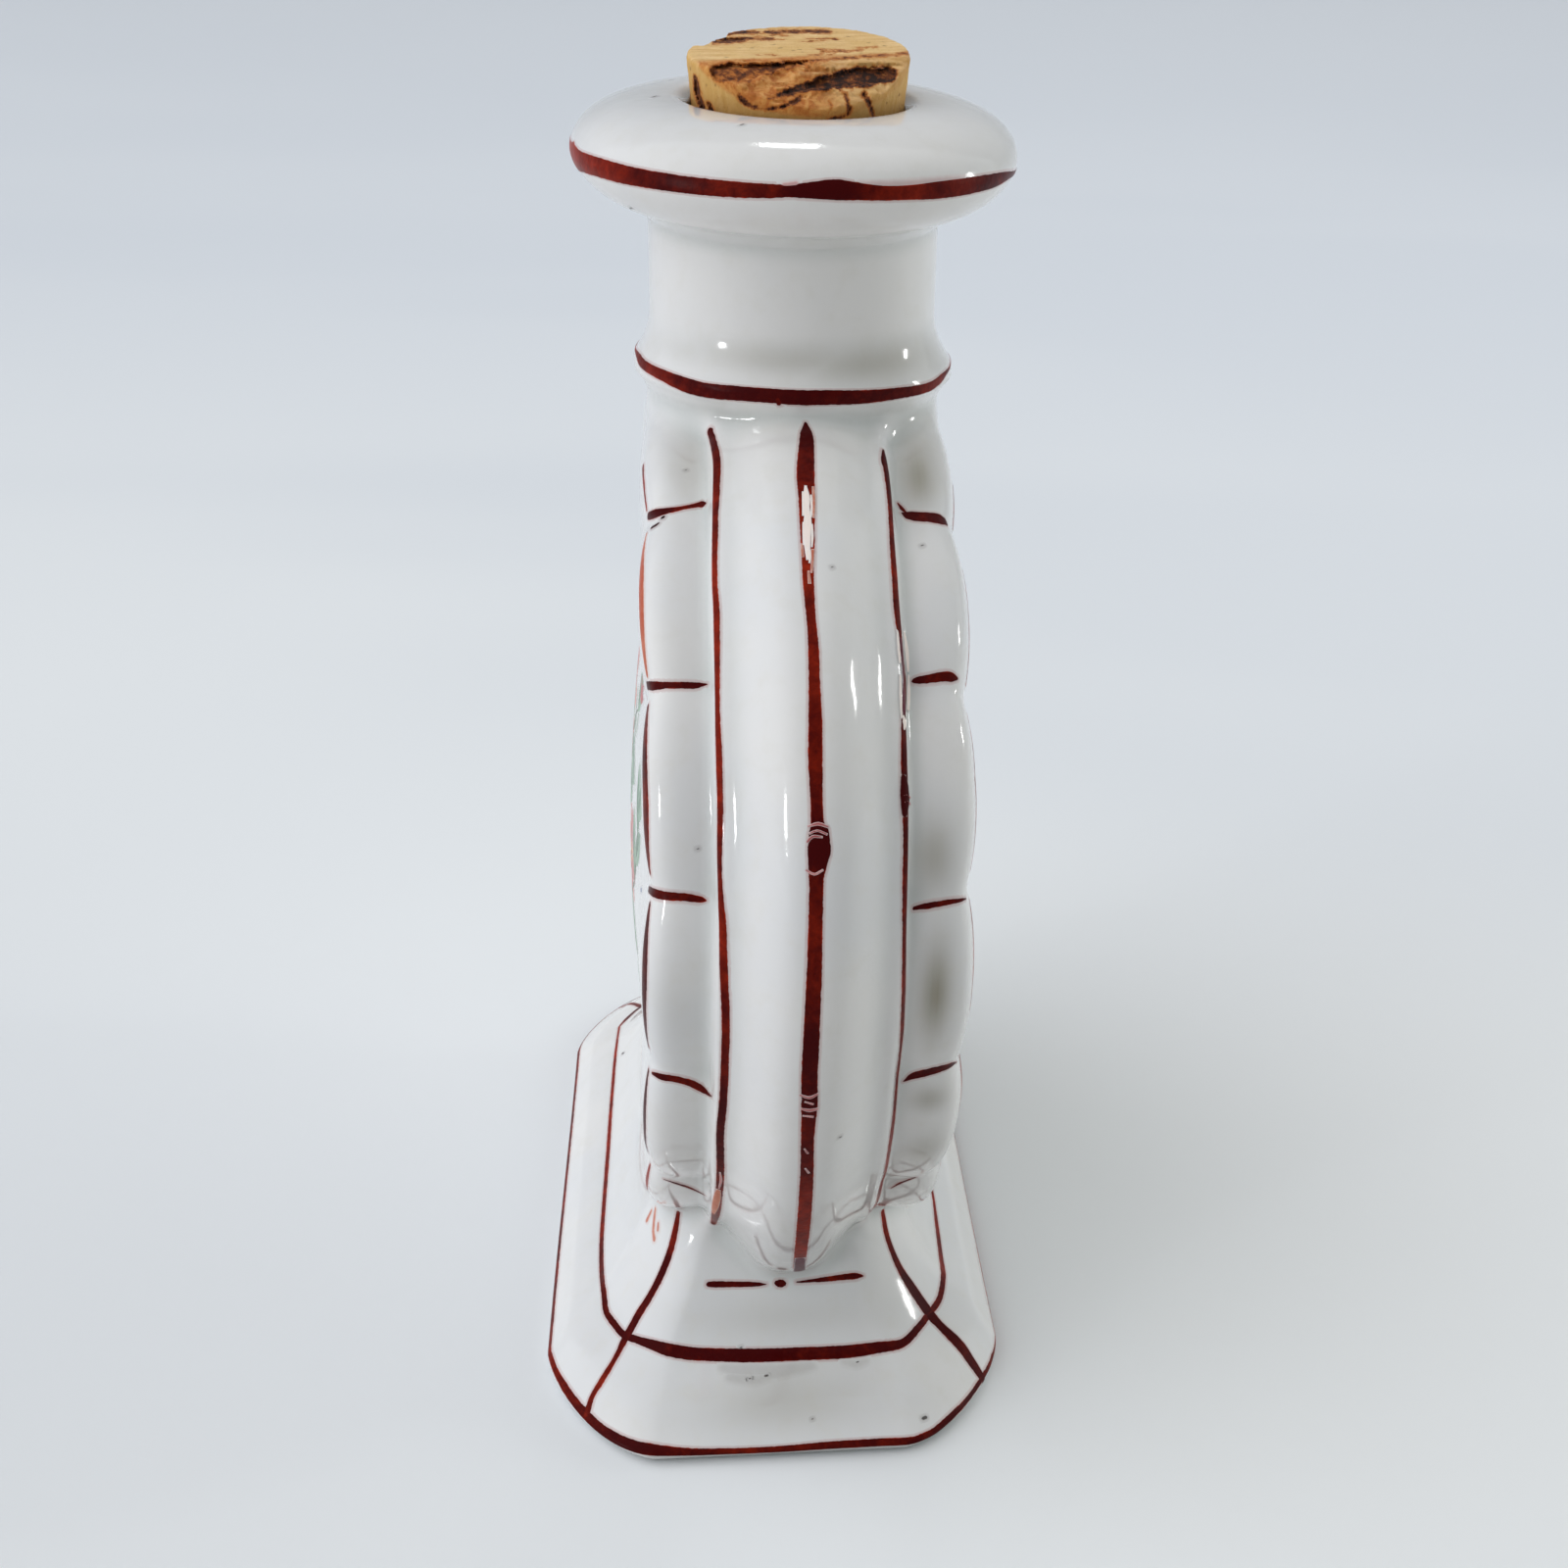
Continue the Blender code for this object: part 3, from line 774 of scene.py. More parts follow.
def traced(knots):
    """The places and half widths on the glaze of (across, down, width) knots in the photograph's pixels."""
    hits = [(rest_tree.ray_cast(CAMERA_AT, pixel_ray(*row[:2]))[0], row) for row in smooth_path(knots, 4, 2)]
    places = np.array([hit for hit, _ in hits if hit is not None]) / MM
    widths = np.array([row for hit, row in hits if hit is not None])
    # Past the edge of a lobe a ray meets something far behind it: the longest unbroken piece is the stroke
    breaks = np.flatnonzero(np.linalg.norm(np.diff(places, axis=0), axis=1) > LEAP) + 1
    piece = max(np.split(np.arange(len(places)), breaks), key=len)
    places, widths = onto_surface(places[piece], 2), widths[piece]
    side = unit(np.cross(unit(slope_of(places)), np.gradient(places, axis=0)))
    run = unit(np.gradient(widths[:, :2], axis=0))
    depth = (places * MM - np.array(CAMERA_AT)) @ np.array(forward)
    scale = FOCAL_PIXELS / depth * MM
    shown = scale[:, None] * np.stack([side @ np.array(right), -(side @ np.array(upward))], 1)
    drawn = np.abs(run[:, 0] * shown[:, 1] - run[:, 1] * shown[:, 0])
    return places, widths[:, 2] / 2 / np.maximum(drawn, LEAST_VIEW * scale)


def spread_over(values, count):
    """A short table read out in that many even steps."""
    values = np.atleast_1d(np.asarray(values, float))
    return np.interp(np.linspace(0, 1, count), np.linspace(0, 1, len(values)), values)


def mirrored(places):
    """The places' images on the hidden side. The rim's tilt isn't mirrored."""
    x, y, z = places.T
    return np.stack([-x, y, z + 2 * (tilted(x, z) - z)], 1)


# The widest half width of the lines along the band, in millimetres
BAND_LINE_HALF = 0.44


def seen(group, knots, pigment, load=0.6, strength=1.0, soft=0.0, mirror=True, within=None):
    """A stroke through the photograph's knots, within the band if asked, and its twin on the hidden side."""
    places, half = traced(knots)
    if within:
        off = drift(*places.T)[1] - np.interp(places[:, 2], *MOON_DRIFT.T)
        held = np.pad(np.clip(off, -within, within), 4, mode="edge")
        places[:, 1] += np.convolve(held, np.full(9, 1 / 9), "valid") - off
        half = np.minimum(half, BAND_LINE_HALF)
    paint = pigment, spread_over(load, len(half)), spread_over(strength, len(half)), soft
    stroke(group, places, half, *paint)
    if mirror:
        twin = mirrored(places)
        wave = np.array([noise(Vector(p) / 9) for p in twin]) * 0.25
        stroke(group, twin + np.stack([wave * 0, wave, wave * 0.5], 1), half * (1 + wave), *paint)


# A line round the flask: its step in millimetres, and the gap between its seen and mirrored parts in radians
LOOP_STEP, LOOP_GAP = 0.6, 0.05
# How far the mirrored part wavers up and down, in millimetres, and in width, as a share
LOOP_WAVER, LOOP_SWELL = 0.22, 0.35


def round_loop(group, knots, pigment, load, length=1.0, width=1.0):
    """A closed line round the flask: as the photograph shows it, and mirrored where it is hidden."""
    places, half = traced(knots)
    x, y, z = places.T
    turn = np.arctan2(y / width, x / length)
    sizes = half, spread_over(load, len(half))
    rows = np.column_stack([turn, np.hypot(x / length, y / width), tilted(x, z), *sizes])
    first, last = turn.min(), turn.max()
    twin = rows.copy()
    twin[:, 0] = (math.pi - turn - first) % (2 * math.pi) + first
    twin = twin[twin[:, 0] > last + LOOP_GAP]
    twin = twin[twin[:, 0] < first + 2 * math.pi - LOOP_GAP]
    for row in twin:
        row[2] += LOOP_WAVER * noise((row[0] * 3, 0, row[2]))
        row[3] *= 1 + LOOP_SWELL * noise((row[0] * 4, 5, row[2]))
    rows = np.vstack([rows, twin])
    turn, reach, height, half, load = rows[np.argsort(rows[:, 0])].T
    x, y = length * reach * np.cos(turn), width * reach * np.sin(turn)
    ring = np.stack([x, y, height, half, load], 1)
    ring = np.vstack([ring, ring[:1]])
    run = np.concatenate([[0], np.cumsum(np.linalg.norm(np.diff(ring[:, :3], axis=0), axis=1))])
    along = np.linspace(0, run[-1], int(run[-1] / LOOP_STEP), endpoint=False)
    x, y, height, half, load = (np.interp(along, run, column) for column in ring.T)
    centres = np.stack([x, y, height - (tilted(x, height) - height)], 1)
    stroke(group, centres, half, pigment, load, closed=True)


def drawn(group, knots, pigment, load=0.6, strength=1.0, soft=0.0, step=0.45):
    """A stroke through (x, y, z, half width) knots in millimetres."""
    rows = smooth_path(knots, step)
    stroke(group, rows[:, :3], rows[:, 3], pigment, load, strength, soft)


# Pixel knots of the strokes that the photograph shows: (across, down, width)
RIM_LINE = [
    (582, 153, 4), (590, 164, 17), (624, 175, 18), (656, 182, 17), (703, 189, 16.5), (751, 193.5, 15.5),
    (790, 195, 13.5), (806, 195, 12), (830, 194, 17), (853, 193.5, 21), (872, 195, 18), (900, 197, 14.5),
    (927, 196.5, 14), (958, 194, 16.5), (990, 189.7, 16), (1016, 184, 12), (1034, 177, 4),
]
RIM_BLUSH = [(878, 188, 6), (905, 189, 9), (930, 188.5, 10), (955, 186, 9), (985, 182, 5)]
RIM_SMEAR = [(800, 190, 7), (812, 188, 6)]
RING_LINE = [
    (648.6, 356.5, 2), (655.7, 371, 8), (671.6, 381, 11), (694, 390.5, 13), (719, 398, 14), (751, 401, 14),
    (783, 403.5, 14), (815, 405.5, 14.5), (847, 405.5, 14), (879, 405, 13), (911, 402, 11), (943, 396.5, 9),
    (958.6, 387.5, 6), (968, 376, 2),
]
RING_DROP = [(793, 407, 6), (795.5, 411.5, 6)]
KEEL_LINE = [
    (822, 432, 3), (822.5, 440, 11), (823, 450, 15), (822, 482, 18.5), (823, 508, 17), (824, 546, 15),
    (824.5, 571, 13), (825, 597, 11.5), (828, 635, 10), (830, 661, 11.5), (831, 699, 12), (832, 737, 14.5),
    (832, 775, 15), (833, 810, 13.5), (834, 838, 14), (835.5, 847, 20), (836, 857, 22), (836, 868, 24),
    (834.5, 881, 20), (833, 895, 16), (833, 905, 15), (832, 950, 15), (830.6, 1000, 16), (827.7, 1064, 17),
    (826, 1100, 17), (826, 1128, 17), (824, 1160, 14), (823.5, 1192, 14), (822, 1224, 14.5),
    (819.5, 1255, 14), (817, 1278, 13), (814.5, 1301, 12.5),
]
LEFT_LINE = [
    (723, 441, 7), (725, 446, 9), (729, 457, 9), (731.7, 469, 10), (731, 495, 9.5), (730, 520, 7),
    (729.7, 546, 6.6), (729.2, 571, 6), (729.4, 598, 6), (731.2, 622, 7), (731.5, 661, 7), (731.5, 699, 7),
    (732.2, 737, 6.6), (733.5, 775, 7), (734.5, 820, 6.5), (733.8, 862, 9), (734.5, 904, 9.5),
    (737.3, 946, 9.5), (738.4, 988, 9.5), (740.7, 1030, 9.5), (740.7, 1059, 11), (739.3, 1101, 10.5),
    (738, 1129, 10), (734.5, 1157, 10), (735.6, 1185, 9.5), (734.5, 1213, 9),
]
LEFT_TAIL = [(734.5, 1211, 8), (732, 1226, 10), (730, 1238, 10), (728, 1248, 6)]
RIGHT_LINE = [
    (901, 460, 2), (901.2, 468, 6), (904.4, 482, 6), (907.5, 508, 5), (908.8, 533, 5), (910.3, 559, 5.5),
    (912.3, 584, 6), (914, 610, 6.6), (916.4, 635, 6.6), (918.5, 650, 6), (921.8, 686, 8.5), (923, 712, 9),
    (922.3, 737, 7.5), (922.3, 775, 8), (923, 800, 8), (923, 815, 11), (923.5, 830, 7), (924, 860, 5.5),
    (923.5, 900, 6.5), (923, 950, 7.5), (922.6, 1000, 8), (921.7, 1032, 6.4), (920.4, 1064, 5),
    (918.5, 1096, 4.5), (913.7, 1128, 5), (909.8, 1160, 5.8), (904.4, 1192, 8), (898.7, 1217, 7),
    (893, 1238, 4),
]
LEFT_DASHES = [
    [(662, 526.5, 8), (668, 525, 10), (680, 522, 7.5), (695, 519, 5), (708, 516.5, 5), (716, 515, 7.5),
        (719, 514.5, 5)],
    [(661, 699.5, 9), (668, 700, 10), (680, 699.5, 7.5), (700, 699.5, 7.5), (710, 699.5, 7), (717, 698.7, 4),
        (722, 698.4, 1)],
    [(660, 905, 4), (668, 911, 9), (680, 914, 9.5), (700, 915.5, 8.5), (713, 917.5, 7.5), (719, 918.5, 4),
        (721, 919, 1)],
    [(666, 1095, 3), (675, 1098.5, 7), (690, 1101, 7.5), (705, 1105, 8), (716, 1111, 7.5), (723, 1116, 4),
        (727, 1119, 1)],
    [(678, 1203, 1), (690, 1207, 2), (705, 1212, 2.5), (719, 1219, 1)],
]
RIGHT_DASHES = [
    [(921, 524, 3), (926, 526, 9), (935, 527.5, 11), (948, 528.5, 11.5), (958, 530, 11.5), (963, 532, 8)],
    [(932, 695, 5), (938, 694, 8), (950, 692.5, 9.5), (962, 690.5, 10.5), (971, 691, 10), (976, 692.5, 4)],
    [(932, 927, 4), (945, 924.5, 6.5), (965, 921, 6), (978, 918.8, 4.5), (985, 917, 2)],
    [(922, 1103, 2), (932, 1097.5, 8), (945, 1094, 8.5), (960, 1090, 7.5), (969, 1087, 5.5),
        (976, 1083.5, 1)],
    [(909, 1212, 1), (920, 1206, 2.5), (934, 1201, 1)],
]
# Small ticks beside the left dashes, and one that joins the right line to its first dash
DASH_TICKS = [[(665, 539, 2), (668.5, 537, 2.5), (672, 534.5, 2)], [(676, 529, 3), (677, 528, 3)]]
DASH_LINK = [(916, 514, 2), (920, 519, 4), (924, 523, 2.5)]
MOTIF = [
    [(723, 1310.5, 5.5), (730, 1310.5, 6.5), (750, 1310.5, 5.7), (770, 1310.5, 5), (782, 1310.5, 1)],
    [(794.5, 1309, 9), (798, 1309.5, 9)],
    [(813, 1308, 2), (830, 1306.5, 4), (850, 1304.5, 5.5), (867, 1302.5, 6.5), (875, 1302, 6),
        (881, 1302, 1)],
]
TIER_LINE = [
    (632, 1048, 2), (628, 1080, 3), (624, 1128, 3.5), (620.7, 1176, 4), (617, 1224, 4.2), (614.3, 1265, 4.6),
    (614.3, 1297, 5), (617, 1323, 6), (619, 1339, 6.5), (627, 1351, 7), (637, 1362.5, 7), (651, 1367.5, 7.5),
    (665, 1372, 9.5), (680, 1377, 12), (700, 1380.8, 12.5), (720, 1382.4, 12), (768, 1383.4, 12),
    (816, 1381.8, 11.5), (863, 1379.6, 11.5), (895, 1375.4, 10.5), (921, 1370.6, 8.5), (937, 1354.6, 7.5),
    (948, 1340.3, 7), (958, 1326, 6.5), (962, 1303.5, 5.5), (959.4, 1281, 4.5), (956.2, 1255.6, 4),
    (952.3, 1223.6, 2.5),
]
OUTER_LINE = [
    (560, 1377, 5), (566, 1396, 6), (576, 1415, 8), (587, 1431, 9), (598, 1444, 10), (611, 1457, 11),
    (627, 1468, 12.5), (643, 1475, 12), (665, 1479.5, 11), (704, 1481.8, 8), (752, 1480.8, 7),
    (800, 1478.6, 7.5), (847, 1475, 8), (895, 1472.2, 8), (927, 1470.6, 8), (943, 1465.8, 8),
    (956, 1458.5, 8), (972, 1444, 7), (988, 1426.5, 5), (1001, 1407.3, 5), (1010, 1391, 4), (1015, 1376, 3),
]
LEFT_DIAGONAL = [
    (692.6, 1236, 4), (689.4, 1255.6, 6), (684.6, 1275, 6.5), (676.6, 1297, 7), (665.4, 1319.5, 6.5),
    (652.7, 1340, 7), (644.7, 1354.6, 7), (638.3, 1366, 7), (628.7, 1385, 5), (614.3, 1409, 5.5),
    (604.7, 1425, 5), (599, 1442.5, 7),
]
RIGHT_DIAGONAL = [
    (900.3, 1236, 4), (903.5, 1255.6, 5), (908.2, 1271.6, 5), (917.8, 1294, 6), (930.6, 1314.7, 8),
    (948.2, 1340.3, 8.5), (959.4, 1353, 7), (978.5, 1372, 8.5), (991.3, 1390, 7.5), (1002.5, 1407, 6),
]
# Three separate slim strokes beside the seam
SEAM_STROKES = [
    [(669.2, 1233, 1.8), (668, 1243, 2.4), (667, 1256, 2.6), (667.9, 1265, 3.4)],
    [(665.4, 1235, 1.6), (660.8, 1245, 2.6)], [(672.1, 1248, 1.8), (671.4, 1255.5, 2.2)],
]
# Where the enamel of the keel's line has cracked, its dark end, and a painted highlight on it: pale flecks,
# with orange ones at its edges
CRACKS = [
    [(825, 843, 2), (835, 840.5, 3.5), (844, 843.5, 2.5)], [(824, 859, 2.5), (829, 853.5, 3), (838, 854, 2)],
    [(827, 850, 2), (834, 847.5, 2), (843, 851, 2)], [(823, 888, 2), (831, 892, 2.5), (839, 888, 2)],
    [(817, 1117, 2), (826, 1119.5, 3), (834, 1116, 2)],
    [(818, 1131, 2), (826, 1132.5, 3.5), (834, 1131, 2.5)], [(822, 1124, 1.5), (829, 1126, 2)],
    [(820, 1138, 1.5), (829, 1139, 2)], [(821, 1172, 1.5), (824, 1176, 2)],
    [(822, 1192, 1.5), (825, 1196, 2)],
]
KEEL_END = [[(816.5, 1284, 11), (815.5, 1296, 12)]]
KEEL_GLINT = [
    [(822, 497, 2.5), (823, 510, 7), (822, 526, 5)],
    [(824, 518, 4), (824, 534, 8), (823.5, 552, 7), (824.5, 570, 4)],
    [(819.3, 503, 2), (820, 514, 3), (819.6, 526, 2)],
    [(827.5, 506, 1.5), (828.5, 518, 2.4), (827.5, 528, 1.5)],
    [(819.6, 534, 1.5), (820, 545, 2.4), (820, 556, 1.5)],
    [(828.6, 536, 1.5), (829, 547, 2.2), (828.4, 558, 1.5)],
    [(826, 562, 2), (826.6, 568, 2.4), (826, 574, 1.5)],
]
KEEL_GLINT_EDGES = [
    [(829.6, 498, 2), (830.5, 512, 3), (830, 528, 2)], [(818, 556, 2), (819, 568, 3)],
    [(829, 562, 3), (829, 574, 3), (828, 584, 2)], [(825, 584, 2), (826, 595, 3)],
]
# An orange patch and a crack on the band's left line
TAIL_PATCH = [[(733.3, 1214, 5), (732, 1221, 8), (730, 1230, 7.5), (728.4, 1237, 3.5)]]
TAIL_CRACK = [[(735, 1196, 1.5), (736, 1204, 2.5), (734, 1212, 1.5)]]
# On its right line: a painted sheen of mauve along it, pale flecks of painted highlight beside it, and a dark
# knot with the cracks in it
RIGHT_LINE_SHEEN = [[(918.3, 654, 4), (920.3, 672, 5.5), (921.6, 700, 5.5), (922.2, 726, 4)]]
RIGHT_LINE_GLINT = [
    [(915, 644, 1.5), (916.5, 660, 3), (917.5, 676, 2)],
    [(918, 690, 1.5), (918.5, 712, 2.6), (919.5, 732, 1.5)],
    [(922, 646, 2), (924.5, 664, 4.5), (926, 684, 3)], [(926.5, 690, 2), (926.5, 708, 4), (926, 724, 3)],
    [(921, 731, 2), (922.5, 737, 4), (922, 744, 2)],
]
KNOT = [[(921.5, 793, 6), (923, 806, 9.5), (923.5, 818, 10), (922.5, 831, 6)]]
KNOT_CRACKS = [
    [(919, 813, 1.5), (924, 811, 2.2), (928, 814, 1.5)],
    [(920, 820, 1.2), (925, 817.5, 1.8), (928, 821, 1.2)],
]
SMUDGE = [
    [(738, 1396, 8), (765, 1400, 14), (795, 1399, 12), (828, 1394, 8)],
    [(745, 1406, 8), (770, 1408, 9), (785, 1405, 6)], [(862, 1390, 6), (874, 1392, 7), (884, 1389, 5)],
]
# Iron specks in the glaze: (across, down, length, width)
SPECKS = [
    (943, 1447, 3.5, 3), (757, 128, 3, 1.5), (668, 99, 4, 1.2), (849, 579, 1.5, 1.5), (712, 866, 1.5, 1.5),
    (782, 1404, 2, 2), (765, 1407, 1.5, 1.5), (875, 1390, 2, 1.5), (857, 1160, 1.6, 1.6),
    (636, 1075, 1.6, 1.6), (644, 212, 2, 1.5), (941, 557, 1.5, 1.5), (700, 480, 1.5, 1.2),
    (829, 1448, 1.2, 1.2), (756, 1375, 1.8, 1.6),
]

# How much pigment the long strokes carry, in even steps along them
RIM_LOAD = (0.2, 0.3, 0.5, 0.65, 0.75, 0.7, 0.6, 0.62, 0.7, 1.25, 1.3, 0.85, 0.5, 0.45, 0.55, 0.6, 0.75, 0.8)
RING_LOAD = (0.4, 0.5, 0.6, 0.8, 0.9, 0.95, 1.0, 0.9, 0.8, 0.7, 0.6, 0.5)
KEEL_LOAD = (
    0.9, 0.75, 0.5, 0.4, 0.35, 0.4, 0.5, 0.6, 0.55, 0.6, 0.7, 0.6, 0.65, 1.3, 0.75, 0.45, 0.5, 0.6, 0.75, 0.9,
    0.8, 0.9, 0.7, 0.6, 0.45, 0.35, 0.3,
)
LEFT_LOAD = (0.9, 0.45, 0.35, 0.5, 0.4, 0.55, 0.45, 0.6, 0.9, 0.6)
RIGHT_LOAD = (1.0, 0.6, 0.5, 0.7, 0.9, 0.55, 0.6, 0.5, 0.4, 0.2)
TIER_LOAD = (0.3, 0.35, 0.4, 0.5, 0.75, 1.0, 1.0, 0.95, 0.9, 0.8, 0.5, 0.4)
OUTER_LOAD = (0.6, 0.75, 0.95, 0.9, 0.5, 0.55, 0.8, 0.8, 0.9, 0.6)
# The band's lines stay this near its middle, in millimetres
ON_BAND = BAND_HALF_WIDTH + 0.45

round_loop("rim_line", RIM_LINE, RED, RIM_LOAD)
seen("rim_line", RIM_BLUSH, PINK, 0.5, 0.4, 0.3, False)
seen("rim_line", RIM_SMEAR, PINK, 0.2, 0.7, 0.1, False)
round_loop("ring_line", RING_LINE, RED, RING_LOAD)
seen("ring_line", RING_DROP, RED, 0.7, 1, 0, False)
seen("keel_lines", KEEL_LINE, RED, KEEL_LOAD)
# Flecks on the lines, in one mesh: cracks, patches and knots of the enamel, and painted highlights and sheen
# (rows, pigment, load, softness, whether the hidden side has them too, how near the band's middle they stay)
for rows, pigment, load, soft, mirror, within in (
    (CRACKS, PINK, 0.35, 0.06, True, None),
    (KEEL_END, MAUVE, 0.8, 0.1, True, None),
    # Painted highlight on the keel's line: pale flecks, and orange ones at its edges
    (KEEL_GLINT, GLINT_WHITE, 0.5, 0.08, False, None),
    (KEEL_GLINT_EDGES, ORANGE, 0.5, 0.1, False, None),
    (TAIL_PATCH, ORANGE, 0.1, 0.06, False, None),
    (TAIL_CRACK, PINK, 0.2, 0.05, False, None),
    # Painted sheen on the right line, then pale flecks of painted highlight beside it
    (RIGHT_LINE_SHEEN, MAUVE, 0.7, 0.06, False, ON_BAND),
    (RIGHT_LINE_GLINT, GLINT_WHITE, 0.5, 0.1, False, None),
    (KNOT, RED, 1.25, 0.03, False, None),
    (KNOT_CRACKS, PINK, 0.3, 0.05, False, None),
):
    for row in rows:
        seen("enamel_flecks_and_glints", row, pigment, load, 1.0, soft, mirror, within)
seen("band_lines", LEFT_LINE, RED, LEFT_LOAD, within=ON_BAND)
seen("band_lines", LEFT_TAIL, RED, 0.45, 1.0, 0.04)
seen("band_lines", RIGHT_LINE, RED, RIGHT_LOAD, within=ON_BAND)
for row in LEFT_DASHES + RIGHT_DASHES:
    seen("lobe_dashes", row, RED, (1.0, 0.7, 0.85))
seen("lobe_dashes", DASH_LINK, RED, 0.7, 1, 0, False)
for row in DASH_TICKS:
    seen("lobe_dashes", row, DARK_RED, 1, 1, 0, False)
for row in MOTIF:
    seen("pedestal_lines", row, RED, (1.0, 0.75, 0.9))
round_loop("pedestal_lines", TIER_LINE, RED, TIER_LOAD, *TIER[1:3])
round_loop("pedestal_lines", OUTER_LINE, RED, OUTER_LOAD, *EDGE[1:3])
seen("pedestal_lines", LEFT_DIAGONAL, RED, (0.5, 0.7, 0.9, 0.8, 0.5, 0.4, 0.6))
seen("pedestal_lines", RIGHT_DIAGONAL, RED, (0.5, 0.6, 0.9, 1.0, 0.85, 0.8))
for row in SEAM_STROKES:
    seen("pedestal_lines", row, ORANGE, 0.3, 0.85, 0.04)
for row in SMUDGE:
    seen("marks", row, SOOT, 0.4, 0.24, 0.48, False)
for px, py, length, width in SPECKS:
    ends = [(px + way * length / 2, py - way * length * 0.15, width) for way in (-1, 1)]
    seen("marks", ends, SPECK, 0.8, 0.85, 0.05, False)


def face_at(radius, z, side):
    """The Y of a face of the moon at that distance from its middle and that height."""
    return side * float(np.interp(radius, FACE_R, FACE_HALF)) + float(np.interp(z, *MOON_DRIFT.T))


def on_face(radius, angle, side, half=0.3):
    """A knot on a face of the moon, by its distance from the middle and its angle in degrees."""
    turn = math.radians(angle)
    z = CENTRE + radius * math.sin(turn)
    return (radius * math.cos(turn), face_at(radius, z, side), z, half)


# The arcs that the photograph shows, by lobe up from the foot: (pigment, load, widest half width)
SEEN_ARCS = {2: (RED, 1.0, 0.5), 3: (RED, 0.9, 0.85), 4: (RED, 0.65, 1.0), 5: (ORANGE, 0.6, 0.9)}
ARC_RADIUS = {-1: 46.3, 1: 44.2}
ARC_END_HALF = 0.12
# Between these sines of their angle the arcs are clear of the foot and the neck
ARC_SINES = (-0.93, 0.955)
RING_OF_FACE = 29.6


def face_arc(side, number, start, end):
    """The arc along a lobe's outer edge."""
    tone, load, widest = RED, 0.35 + 0.5 * abs(noise((number, 3, side))), 0.4
    if side < 0:
        tone, load, widest = SEEN_ARCS.get(number % (len(DIVISIONS) - 1), (tone, load, widest))
    knots = []
    for share in np.linspace(0.07, 0.93, 7):
        bulge = 1 - abs(2 * share - 1) ** 2.2
        angle = start + (end - start) * share
        if ARC_SINES[0] <= math.sin(math.radians(angle)) <= ARC_SINES[1]:
            full = (widest - ARC_END_HALF) * bulge * (0.8 + 0.4 * noise((number, share * 2, side)))
            knots.append(on_face(ARC_RADIUS[side] - 0.9 + 0.9 * bulge, angle, side, ARC_END_HALF + full))
    if len(knots) > 2:
        drawn("face_arcs", knots, tone, load)


# Every lobe has an arc along its outer edge on both faces, and every division a short line inwards
all_divisions = list(DIVISIONS[1:-1]) + [180 - a for a in DIVISIONS[1:-1]]
lobe_spans = [(a, b) for a, b in zip(DIVISIONS, DIVISIONS[1:])]
lobe_spans += [(180 - b, 180 - a) for a, b in lobe_spans]
for side in (-1, 1):
    for number, span in enumerate(lobe_spans):
        face_arc(side, number, *span)
    for number, angle in enumerate(all_divisions):
        sway = noise((number, side, 5)) * 1.2
        line = ((31.6, 0.3, 0.1), (33.5, 0, 0.3), (36.5, -0.2, 0.34), (39.2, 0, 0.12))
        drawn("face_arcs", [on_face(r, angle + sway * much, side, half) for r, much, half in line], RED, 0.75)
    ring = []
    for angle in range(-90, 274, 9):
        radius = RING_OF_FACE + 0.12 * noise((angle / 30, side, 1))
        ring.append(on_face(radius, angle, side, 0.28 * (1 + 0.3 * noise((angle / 12, side, 9)))))
    drawn("face_arcs", ring, RED, 0.7)


# A traditional flower spray on both medallions
LEAF = (srgb(64, 112, 78), srgb(148, 186, 156))
LEAF_DARK = (srgb(30, 62, 48), srgb(84, 122, 98))
STEM = (srgb(58, 76, 48), srgb(120, 140, 100))
PETAL = (srgb(168, 44, 50), srgb(224, 140, 134))
PETAL_PALE = (srgb(206, 96, 92), srgb(236, 184, 176))
YELLOW = (srgb(198, 146, 40), srgb(232, 202, 120))
BLUE = (srgb(44, 66, 128), srgb(126, 148, 196))


def painted(side, knots, pigment, load=0.5, strength=0.95, soft=0.0):
    """A stroke on a medallion, through (across, up, half width) knots from its middle as a viewer sees it."""
    knots = [(-side * a, face_at(math.hypot(a, b), CENTRE + b, side), CENTRE + b, h) for a, b, h in knots]
    drawn("flower_spray", knots, pigment, load, strength, soft)


def around(x, y, radius, angle):
    """The place at that distance and angle from another."""
    return x + radius * math.cos(angle), y + radius * math.sin(angle)


# A leaf's side stroke: (share of the length, share of the width, half width by the width)
LEAF_EDGE = ((0, 0, 0.15), (0.25, 0.30, 0.30), (0.55, 0.34, 0.34), (0.8, 0.18, 0.22), (1, 0, 0.05))
# Its vein: (share of the length, half width)
LEAF_VEIN = ((0.05, 0.12), (0.5, 0.14), (0.92, 0.05))
# A petal: (share of the way from heart to tip, turn in radians, half width by the flower's radius)
PETAL_STROKE = ((0, -0.072, 0.05), (0.45, 0, 0.15), (0.8, 0.05, 0.19), (1, 0.02, 0.08))


def leaf(side, x, y, turn, length, width):
    """A leaf in two wet strokes with a dark vein."""
    c, s = math.cos(math.radians(turn)), math.sin(math.radians(turn))
    for edge in (1, -1):
        knots = []
        for share, out, half in LEAF_EDGE:
            u, v = share * length, edge * out * width
            knots.append((x + u * c - v * s, y + u * s + v * c, half * width))
        painted(side, knots, LEAF, 0.45 + 0.2 * edge, 0.85, 0.03)
    vein = [(x + u * length * c + 0.15 * s, y + u * length * s, half) for u, half in LEAF_VEIN]
    painted(side, vein, LEAF_DARK, 0.8)


